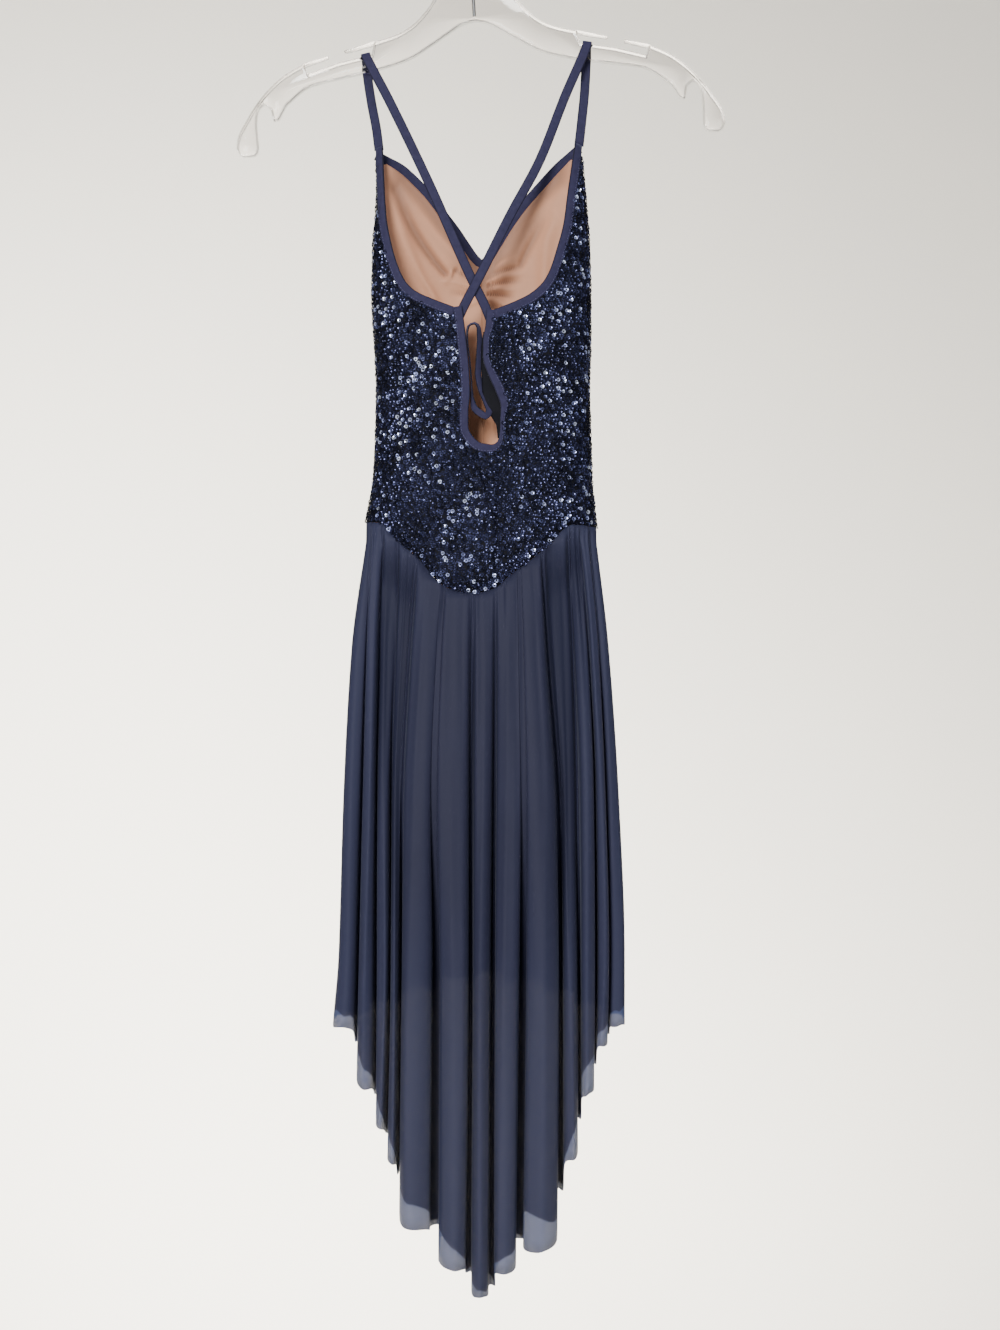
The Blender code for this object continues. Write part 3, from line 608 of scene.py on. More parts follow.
binding = {
    "width": 8.3,
    "thick": 2.0,
    "step": 4.0,
    "armholeRunOn": (3.0, 3.4),  # past the strap point, and in beside the keyhole tape
    "neckRunOn": (10.6, 11.0),  # past each strap point
    "stitchIn": 0.3,  # the coverstitch's place, as a share of the width off the tape's middle
    "armholeLeft": (  # x, z of the garment's edge
        (-72.8, -234), (-72.0, -255), (-71.0, -275), (-69.4, -296), (-64.7, -320),
        (-58.9, -339), (-52.6, -352), (-44.0, -360.5), (-27.6, -368.5), (-12.3, -374.5),
    ),
    "armholeRight": (
        (93.6, -231), (90.6, -252), (87.7, -272), (84.0, -300), (77.7, -324),
        (72.3, -341), (65.8, -353), (54.4, -363.5), (41.0, -370.5), (25.3, -377.0),
    ),
    "keyhole": (  # x, z of the tape's middle, and the width that it shows
        (-7.7, -375.0, 8.3), (-4.8, -399.0, 8.3), (-1.8, -429.0, 8.3), (-0.9, -450.0, 8.3),
        (-2.2, -466.0, 8.0), (-2.2, -479.0, 8.0), (3.0, -490.0, 8.0), (12.0, -496.6, 8.0),
        (22.0, -497.6, 7.0), (28.8, -492.5, 4.6), (30.6, -483.0, 3.6), (31.2, -471.0, 4.2),
        (33.0, -460.5, 7.2), (29.4, -448.0, 8.3), (22.4, -433.0, 7.6), (17.0, -418.0, 5.6),
        (17.2, -404.0, 5.6), (20.4, -389.0, 7.6), (20.9, -378.0, 8.0),
    ),
    "neck": (  # x, z of the tape's middle
        (-71.0, -239.5), (-59.0, -245.0), (-45.5, -256.0), (-33.0, -268.5), (-21.5, -283.0),
        (-10.0, -297.5), (0.5, -312.5), (7.0, -321.0), (12.6, -324.8), (18.2, -321.0),
        (25.3, -310.5), (36.9, -292.5), (50.2, -275.2), (65.2, -259.2), (80.5, -244.0), (90.5, -236.0),
    ),
}


def armholeLine(rows, side):
    x, z = refineLine(rows, binding["step"]).T
    angle = backAngle(x, z)
    heading = squareHeading(angle, z)
    outward = (heading[:, 0] * side - heading[:, 2]) > 0
    return angle, z, np.where(outward[:, None], heading, -heading)


def keyholeLine():
    rows = refineLine(binding["keyhole"], binding["step"])
    middle, width = rows[:, :2], rows[:, 2:]
    ahead = unitLength(np.gradient(middle, axis=0))
    return middle, width, np.column_stack([ahead[:, 1], -ahead[:, 0]])


def neckLine(below):
    rows = refineLine(binding["neck"], binding["step"])
    angle = np.mod(frontAngle(rows[:, 0], rows[:, 1]), 2 * math.pi)
    heading = squareHeading(angle, rows[:, 1])
    downward = np.where(heading[:, 2:] < 0, heading, -heading)
    return walkOver(angle, rows[:, 1], downward, below)


stitchRuns = []  # lines along the bindings that the coverstitch follows


def stitchAlong(angle, z):
    stitchRuns.append((bodicePoint(angle, z), bodiceOut(angle, z)))


def runOn(line, atStart, atEnd):
    # carries a line straight on past its ends
    first, last = unitLength(line[0] - line[1]), unitLength(line[-1] - line[-2])
    return np.vstack([line[0] + first * atStart, line, line[-1] + last * atEnd])


def endsTwice(across):
    # for a line that runs on by one more point at each end
    return np.vstack([across[:1], across, across[-1:]])


def armholeBinding(name, node, rows, side):
    angle, z, heading = armholeLine(rows, side)

    def lineAt(share):
        return walkOver(angle, z, heading, binding["width"] * share)

    across = bodicePoint(*lineAt(0.9)) - bodicePoint(*lineAt(0.1))
    route = runOn(bodicePoint(*lineAt(0.5)), *binding["armholeRunOn"])
    tapePiece(name, node, route, endsTwice(across), binding["width"], binding["thick"])
    stitchAlong(*lineAt(0.5 + binding["stitchIn"]))


def keyholeBinding(name, node):
    middle, width, outward = keyholeLine()

    def lineAt(part):
        x, z = (middle + outward * width * part).T
        return backAngle(x, z), z

    across = bodicePoint(*lineAt(0.4)) - bodicePoint(*lineAt(-0.4))
    tapePiece(name, node, bodicePoint(*lineAt(0)), across, width[:, 0], binding["thick"])
    stitchAlong(*lineAt(binding["stitchIn"]))


def neckBinding(name, node):
    across = bodicePoint(*neckLine(3)) - bodicePoint(*neckLine(-3))
    route = runOn(bodicePoint(*neckLine(0)), *binding["neckRunOn"])
    tapePiece(name, node, route, endsTwice(across), binding["width"], binding["thick"])
    stitchAlong(*neckLine(binding["width"] * binding["stitchIn"]))


armholeBinding("armholeBindingLeft", "binding_armhole_left", binding["armholeLeft"], -1)
armholeBinding("armholeBindingRight", "binding_armhole_right", binding["armholeRight"], 1)
keyholeBinding("keyholeBinding", "binding_keyhole")
neckBinding("neckBinding", "binding_neck")
print("bindings sewn on")


# Straps and the loop that hangs in the keyhole

straps = {
    "width": 8.3,
    "thick": 1.7,
    "step": 6.0,
    "left": (  # x, y, z, and where the outer face looks: 0 up, 90 to the front, -90 to the back
        (-77.0, 0.0, -232.4, 90), (-79.4, 3.2, -214.0, 90), (-84.6, 5.3, -186.0, 90),
        (-88.2, 5.3, -160.0, 90), (-88.8, 5.3, -151.9, 88), (-88.9, 4.9, -149.9, 45),
        (-88.9, 3.4, -149.3, 3), (-88.8, 0.0, -149.2, 0), (-88.7, -3.4, -149.3, -3),
        (-88.5, -4.9, -149.9, -45), (-88.0, -5.3, -151.9, -88), (-85.6, -5.6, -156.9, -90),
        (-68.0, -8.6, -191.0, -90), (-32.0, -14.8, -267.0, -90), (3.0, -21.2, -347.0, -90),
        (16.4, -24.4, -375.0, -90), (20.6, -25.0, -385.5, -90),
    ),
    "leftSlope": math.radians(13.9),
    "right": (
        (98.0, 0.0, -228.6, 90), (100.4, 3.2, -208.0, 90), (103.4, 5.3, -178.0, 90),
        (104.8, 5.3, -150.0, 90), (105.1, 5.3, -141.4, 88), (105.2, 4.9, -139.4, 45),
        (105.2, 3.4, -138.8, 3), (105.2, 0.0, -138.7, 0), (105.2, -3.4, -138.8, -3),
        (105.1, -4.9, -139.4, -45), (104.9, -5.3, -141.4, -88), (103.2, -5.6, -146.4, -90),
        (86.0, -9.0, -187.0, -90), (63.6, -14.2, -245.0, -90), (38.0, -19.6, -294.0, -90),
        (11.7, -24.4, -347.6, -90), (-2.0, -25.2, -374.0, -90), (-6.0, -25.2, -382.5, -90),
    ),
    "rightSlope": math.radians(-7.5),
    "loopWidth": 6.0,
    "loopThick": 1.2,
    "loopStep": 3.0,
    "loop": (  # x, y, z, and how far the tape is turned to show its face: 0 edge on, 90 flat
        (7.0, -24.0, -388.6, 28), (10.6, -24.0, -392.6, 35), (11.3, -24.0, -405.0, 50),
        (10.8, -24.0, -419.0, 58), (9.9, -24.0, -432.0, 58), (12.0, -24.5, -444.0, 60),
        (16.8, -26.0, -456.0, 62), (19.6, -27.5, -465.0, 70), (16.5, -29.0, -469.4, 82),
        (11.5, -29.0, -466.6, 84), (6.8, -27.5, -462.0, 62), (4.7, -25.5, -452.0, 24),
        (4.1, -24.0, -437.0, 8), (2.4, -24.3, -418.0, 6), (0.5, -24.6, -400.0, 10), (1.7, -24.3, -391.2, 20),
    ),
}


def strapPiece(name, node, rows, slope):
    fine = refineLine(rows, straps["step"])
    face = np.radians(fine[:, 3])
    up = np.cos(face)
    looks = np.column_stack([-math.sin(slope) * up, np.sin(face), math.cos(slope) * up])
    ahead = unitLength(np.gradient(fine[:, :3], axis=0))
    tapePiece(name, node, fine[:, :3], np.cross(ahead, looks), straps["width"], straps["thick"])


def loopPiece(name, node):
    fine = refineLine(straps["loop"], straps["loopStep"], closed=True)
    route, lean = fine[:, :3], np.radians(fine[:, 3:])
    ahead = unitLength(np.roll(route, -1, axis=0) - np.roll(route, 1, axis=0))
    aside = unitLength(np.column_stack([-ahead[:, 2], 0 * lean[:, 0], ahead[:, 0]]))
    across = np.array([0, -1.0, 0]) * np.cos(lean) - aside * np.sin(lean)
    tapePiece(name, node, route, across, straps["loopWidth"], straps["loopThick"], closed=True)


strapPiece("strapLeft", "strap_left", straps["left"], straps["leftSlope"])
strapPiece("strapRight", "strap_right", straps["right"], straps["rightSlope"])
loopPiece("keyholeLoop", "keyhole_loop")
print("straps and loop hung")


# Bodice panels

panel = {
    "rowsDown": 26,
    "seamRows": 8,
    "underTape": 1.5,  # how far a panel runs in under its binding
    "aboveWaist": 0.4,  # how far it stops above the line of the waist seam
    "seamGap": 0.08,
    "cornerGap": 2,
    "sideDrop": 1,
    "seamLap": 0.0008,  # how far the side seams close past each other, as an angle
    "frontLap": 0.1 / 90,
    "sideMargin": 0.05,
    "cornerMargin": 0.02,
}


def footLine(start, end, count):
    angle = np.linspace(start, end, count)
    return np.column_stack([angle, waistHeight(angle) + panel["aboveWaist"]])


def keyholeSide(side):
    middle, width, outward = keyholeLine()
    edge = middle + outward * (width / 2 - panel["underTape"])
    top, foot = np.array(bodice["centreBackSeam"])
    past = int(np.argmax(edge[:, 0] > top[0]))
    run = edge[:past] if side < 0 else edge[past:][::-1]
    foot = np.array([foot[0], float(waistZ(foot[0])) + panel["aboveWaist"]])
    seam = straightLine(top, foot, panel["seamRows"]) - (side * panel["seamGap"], 0)
    return np.vstack([run, seam])


def backEdges(rows, side):
    angle, z, heading = armholeLine(rows, side)
    topAngle, topZ = walkOver(angle, z, heading, binding["width"] - panel["underTape"])
    sideAngle = side * (math.pi / 2 + panel["seamLap"])
    edge = keyholeSide(side)
    meet = float(topZ[-1])
    cornerX = float(np.interp(-meet, -edge[:, 1], edge[:, 0]))
    edge = np.vstack([[cornerX, meet], edge[edge[:, 1] < meet - panel["cornerGap"]]])
    corner = np.array([[float(backAngle(edge[0, 0], edge[0, 1])), edge[0, 1]]])
    reach = side * topAngle
    inward = reach > side * corner[0, 0] + panel["cornerMargin"]
    between = (reach < side * sideAngle - panel["sideMargin"]) & inward
    startZ = float(np.interp(-side * sideAngle, -reach, topZ)) - panel["sideDrop"]
    top = np.vstack([[sideAngle, startZ], np.column_stack([topAngle, topZ])[between], corner])
    right = np.column_stack([backAngle(edge[:, 0], edge[:, 1]), edge[:, 1]])
    bottom = footLine(sideAngle, right[-1, 0], len(top))
    right[-1] = bottom[-1]
    return straightLine(top[0], bottom[0], len(right)), right, top, bottom


def frontEdges(side, lowered=0.0):
    angle, z = neckLine(binding["width"] / 2 - panel["underTape"] + lowered)
    if side < 0:
        angle = angle - 2 * math.pi
    sideAngle = side * (math.pi / 2 - panel["seamLap"])
    seamAngle = side * (math.pi + panel["frontLap"])
    reach = side * angle
    inward = reach < side * seamAngle - panel["cornerMargin"]
    between = (reach > side * sideAngle + panel["sideMargin"]) & inward
    top = np.column_stack([angle, z])[between]
    if side > 0:
        top = top[::-1]
    lowest = float(z[np.argmin(np.abs(np.abs(angle) - math.pi))])
    startZ = top[0, 1] - panel["sideDrop"] - 4 * lowered
    top = np.vstack([[sideAngle, startZ], top, [seamAngle, lowest]])
    bottom = footLine(sideAngle, seamAngle, len(top))
    left = straightLine(top[0], bottom[0], panel["rowsDown"])
    return left, straightLine(top[-1], bottom[-1], panel["rowsDown"]), top, bottom


def panelGrid(edges):
    grid = fillPatch(*edges)
    return bodicePoint(grid[..., 0], grid[..., 1]), bodiceOut(grid[..., 0], grid[..., 1])


backLeftEdges = backEdges(binding["armholeLeft"], -1)
backRightEdges = backEdges(binding["armholeRight"], 1)
frontLeftEdges = frontEdges(-1)
frontRightEdges = frontEdges(1)

bodicePanels = {  # piece, edges, flat size and area of the cut panel, and what it rests on
    "bodice_back_left": ("backPanelLeft", backLeftEdges, (0.125, 0.30), 0.0225, "bodice_front_left"),
    "bodice_back_right": ("backPanelRight", backRightEdges, (0.11, 0.30), 0.0205, "bodice_front_right"),
    "bodice_front_left": ("frontPanelLeft", frontLeftEdges, (0.12, 0.385), 0.0335, "strap_left"),
    "bodice_front_right": ("frontPanelRight", frontRightEdges, (0.12, 0.385), 0.0335, "strap_right"),
}
for node, (name, edges, flat, area, support) in bodicePanels.items():
    half = bodice["clothWall"] / 2
    made = clothWall(name, *panelGrid(edges), half, half, navyGround, "sequin_cloth")
    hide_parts(node)
print("bodice panels laid")


# The right back panel's raw edge, turned in behind its rolled binding

turned = {
    "edge": (  # z, and how far in x it reaches into the keyhole
        (-396, 14.5), (-408, 12.8), (-420, 12.4), (-436, 13.0), (-450, 13.6), (-460, 15.4),
        (-468, 20.5), (-478, 26.0), (-488, 27.0),
    ),
    "halfWall": 0.4,
    "inside": (2.2, 4.6),  # how far in from the panel, at the binding and at the raw edge
    "pastMiddle": 1.5,  # how far it runs on past the middle of the binding
}


def turnedPiece():
    z = np.linspace(turned["edge"][0][0], turned["edge"][-1][0], 40)
    edge = np.array(turned["edge"], float)[::-1]
    reach = smoothLine(z, edge[:, 0], edge[:, 1])
    middle, width, outward = keyholeLine()
    right = middle[np.argmax(middle[:, 0] > bodice["centreBackSeam"][0][0]):]
    order = np.argsort(right[:, 1])
    under = np.interp(z, right[order, 1], right[order, 0]) + turned["pastMiddle"]
    across = np.linspace(0, 1, 9)[:, None]
    x = reach[None, :] + (under - reach)[None, :] * across
    height = np.broadcast_to(z, x.shape)
    angle = backAngle(x, height)
    out = bodiceOut(angle, height)
    near, far = turned["inside"]
    depth = far + (near - far) * across + 0.5 * np.sin(height / 4.0 + across * 2)
    points = bodicePoint(angle, height) - out * depth[..., None]
    half = turned["halfWall"]
    made = clothWall("turnedEdge", points, out, half, half, navyGround, "sequin_cloth")


turnedPiece()


# Lining, gathered at the centre front

lining = {
    "wall": 0.8,
    "clear": 0.75,  # how far inside the front panel it lies
    "lowered": 0.9,  # how far its top edge stays below the panel's
    "slack": 3.6,  # how far the cups stand in from the panel between the folds
    "sideIn": 2.6,  # and at the least beside the side seam, where the panel turns sharply
    "sideReach": (8, 22),
    "deepest": -0.4,
    "bow": 0.06,  # how far a fold curves aside, as a share of its length
    "growth": (0.6, 0.8),  # of the half width: at the start, and added by the end
    "denser": 5,  # how many times as many points along each edge as the panel outside it
    "folds": (  # from x, z to x, z, half width, height
        (15, -334, 42, -320, 1.4, 2.2),
        (16, -338, 47, -328, 1.15, -4.0),
        (15, -341.5, 48, -334, 1.2, 2.4),
        (16, -345, 46, -341, 1.1, -4.0),
        (15, -348.5, 42, -348, 1.2, 2.4),
        (16, -352, 41, -355, 1.15, -4.0),
        (15, -356, 36, -363, 1.4, 2.2),
        (15, -360, 34, -372, 1.5, -3.6),
        (14, -334, -10, -321, 1.4, 2.2),
        (13, -339, -14, -329, 1.1, -3.2),
        (13, -344, -17, -339, 1.3, 2.2),
        (13, -350, -14, -350, 1.15, -3.2),
        (13, -356, -8, -362, 1.4, 2.0),
        (-9, -328, -17, -338, 2.4, -1.8),
        (-13, -331, -23, -342, 2.4, 1.8),
        (-25, -364, -71, -256, 5.5, 3.2),
        (-15, -340, -73, -242, 4.6, -4.4),
        (-4, -322, -62, -244, 5.0, 1.8),
        (8, -318, -34, -268, 3.0, -2.8),
        (69, -352, 90, -246, 8.0, 2.6),
        (27, -318, 84, -262, 5.0, 2.0),
        (18, -334, 52, -276, 4.8, -4.2),
        (46, -330, 84, -276, 5.0, -2.6),
        (16, -322, 50, -268, 3.0, 1.6),
        (18, -395, 23, -545, 15, 11.0),
    ),
}


def liningFolds(points):
    # soft ridges and troughs that start at the gathered seam and fade as they widen
    x, z = points[..., 0], points[..., 2]
    down = np.linspace(0, 1, points.shape[1])[None, :]
    lift = lining["slack"] * easeIn(down, 0.01, 0.1) * np.ones_like(x)
    fromSide = np.abs(x - x[:1])
    narrow, added = lining["growth"]
    lift = np.maximum(lift, lining["sideIn"] * (1 - easeIn(fromSide, *lining["sideReach"])))
    for x1, z1, x2, z2, width, height in lining["folds"]:
        ahead = np.array([x2 - x1, z2 - z1], float)
        length = np.linalg.norm(ahead)
        ahead /= length
        share = ((x - x1) * ahead[0] + (z - z1) * ahead[1]) / length
        bow = lining["bow"] * length * np.sin(math.pi * np.clip(share, 0, 1))
        off = (z - z1) * ahead[0] - (x - x1) * ahead[1] - bow
        grown = width * (narrow + added * np.clip(share, 0, 1))
        fade = np.clip(share / 0.08, 0, 1) * np.clip((1.12 - share) / 0.5, 0, 1)
        lift = lift + height * fade * np.exp(-((off / grown) ** 2)) * easeIn(down, 0.0, 0.06)
    return np.maximum(lift, lining["deepest"])


def denserEdges(edges, times):
    # the same four edges with more points along each
    finer = []
    for edge in edges:
        at = np.linspace(0, len(edge) - 1, (len(edge) - 1) * times + 1)
        finer.append(alongLine(at, np.arange(len(edge)), edge))
    return finer


def liningPiece(word, side):
    points, out = panelGrid(denserEdges(frontEdges(side, lining["lowered"]), lining["denser"]))
    lift = liningFolds(points)
    inner = lining["clear"] + lining["wall"]
    points = points - out * lift[..., None]
    made = clothWall(
        "lining" + word.title(), points, out, inner, -lining["clear"], nudeTricot, "nude_lining"
    )
    # painted shade, full where the lining lies on the panel in a trough and none where it stands off by the
    # slack
    pointValues(made, "recessShade", [np.clip(1 - lift / lining["slack"], 0, 1)] * 2)
    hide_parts(f"lining_front_{word}")


liningPiece("left", -1)
liningPiece("right", 1)
print("lining gathered in")


# Sequins, sewn all over the bodice

sequins = {
    "across": 3.6,
    "acrossSpread": (0.93, 1.04),
    "top": -240.0,
    "foot": -624,
    "rowPitch": 3.05,
    "alongPitch": 3.3,
    "scatter": (0.55, 0.5),  # along the row, and up or down
    "hole": 0.72,  # its radius
    "cup": 0.42,  # its depth
    "stand": 1.0,  # off the cloth
    "standSpread": (-0.25, 0.45),
    "tilt": 9.0,  # degrees
    "sides": 8,
    "clump": 17.0,  # size of the patches in which more of them are painted as glints
    "shaded": (  # x, z, half width, half height, how strong the painted shade is
        (27, -418, 12, 26, 0.9),
        (36, -452, 9, 26, 0.6),
        (31, -528, 8, 24, 0.7),
        (-2, -512, 14, 12, 0.5),
        (-45, -560, 16, 22, 0.35),
        (62, -500, 14, 30, 0.25),
        (20, -574, 34, 24, 0.12),
    ),
}


def sequinToneAndGlint(places, backSide):
    # a chance for each to be a painted glint, more in some patches, and painted shade where the cloth turns
    # out of the light
    x, z = places[:, 0], places[:, 2]
    over, up = x / sequins["clump"], z / sequins["clump"]
    patch = np.sin(over * 2.1 + 0.6) * np.sin(up * 1.1 + over * 0.7)
    patch = patch + 0.7 * np.sin(up * 2.9 - over * 1.7 + 2)
    toneAndGlint = dice.uniform(0, 1, len(places))
    toneAndGlint = 1 - np.clip((1 - toneAndGlint) / np.exp(0.45 * patch), 0, 1)
    # painted shade where the cloth turns out of the light
    for x0, z0, wide, tall, shadeStrength in sequins["shaded"] if backSide else ():
        near = np.exp(-(((x - x0) / wide) ** 2) - ((z - z0) / tall) ** 2)
        toneAndGlint = toneAndGlint * (1 - shadeStrength * near)
    return toneAndGlint


def sequinPlaces(edgeSets, backSide):
    # staggered rows over one side of the bodice, kept where they lie on a panel
    middle = 0.0 if backSide else math.pi
    turn = np.linspace(middle - math.pi / 2 + 1e-4, middle + math.pi / 2 - 1e-4, 721)
    pitch = sequins["alongPitch"]
    alongSpread, upSpread = sequins["scatter"]
    places = []
    z = sequins["top"]
    while z > sequins["foot"]:
        run = runLength(bodicePoint(turn, np.full_like(turn, z)))
        at = np.arange((len(places) % 2) * pitch / 2, run[-1], pitch)
        at = at + dice.normal(0, alongSpread, len(at))
        angle = np.interp(at, run, turn)
        places.append(np.column_stack([angle, z + dice.normal(0, upSpread, len(at))]))
        z -= sequins["rowPitch"]
    places = np.vstack(places)
    if not backSide:
        places[:, 0] = np.where(places[:, 0] > math.pi, places[:, 0] - 2 * math.pi, places[:, 0])
    keep = np.zeros(len(places), bool)
    for left, right, top, bottom in edgeSets:
        keep |= insideLoop(places, np.vstack([top, right[1:], bottom[::-1][1:], left[::-1][1:-1]]))
    return places[keep].T


def sequinField(name, edgeSets, backSide):
    angle, z = sequinPlaces(edgeSets, backSide)
    centre, out = bodicePoint(angle, z), bodiceOut(angle, z)
    ups = unitLength(np.array([0, 0, 1.0]) - out * out[:, 2:])
    overs = np.cross(ups, out)
    count, sides, cup = len(centre), sequins["sides"], sequins["cup"]
    lean = np.radians(dice.normal(0, sequins["tilt"], (count, 2)))
    facing = unitLength(out + ups * (np.tan(lean[:, :1]) + 0.05) + overs * np.tan(lean[:, 1:]))
    one = unitLength(ups - facing * (ups * facing).sum(-1, keepdims=True))
    two = np.cross(facing, one)
    radius = sequins["across"] / 2 * dice.uniform(*sequins["acrossSpread"], count)
    centre = centre + out * (sequins["stand"] + dice.uniform(*sequins["standSpread"], count))[:, None]
    spin = dice.uniform(0, 2 * math.pi, count)
    hole = np.full(count, sequins["hole"])
    rings = []
    for size, sunk in ((radius, 0.0), (radius * 0.55, cup * 0.75), (hole, cup)):
        for k in range(sides):
            turn = spin + 2 * math.pi * k / sides
            flat = one * np.cos(turn)[:, None] + two * np.sin(turn)[:, None]
            rings.append(centre + flat * size[:, None] - facing * sunk)
    points = np.stack(rings, axis=1).reshape(-1, 3)
    cupFaces = np.array(ringBand(0, sides, sides) + ringBand(sides, 2 * sides, sides))
    faces = (np.arange(count)[:, None, None] * len(rings) + cupFaces).reshape(-1, 4)
    made = newPiece(name, points, faces.tolist(), navySequins)
    pointValues(made, "toneAndGlint", np.repeat(sequinToneAndGlint(centre, backSide), len(rings)))
    print(name, count, "sequins")


sequinField("sequinsBack", (backLeftEdges, backRightEdges), True)
sequinField("sequinsFrontLeft", (frontLeftEdges,), False)
sequinField("sequinsFrontRight", (frontRightEdges,), False)


# Skirt, in flutes that a row of the table each describes

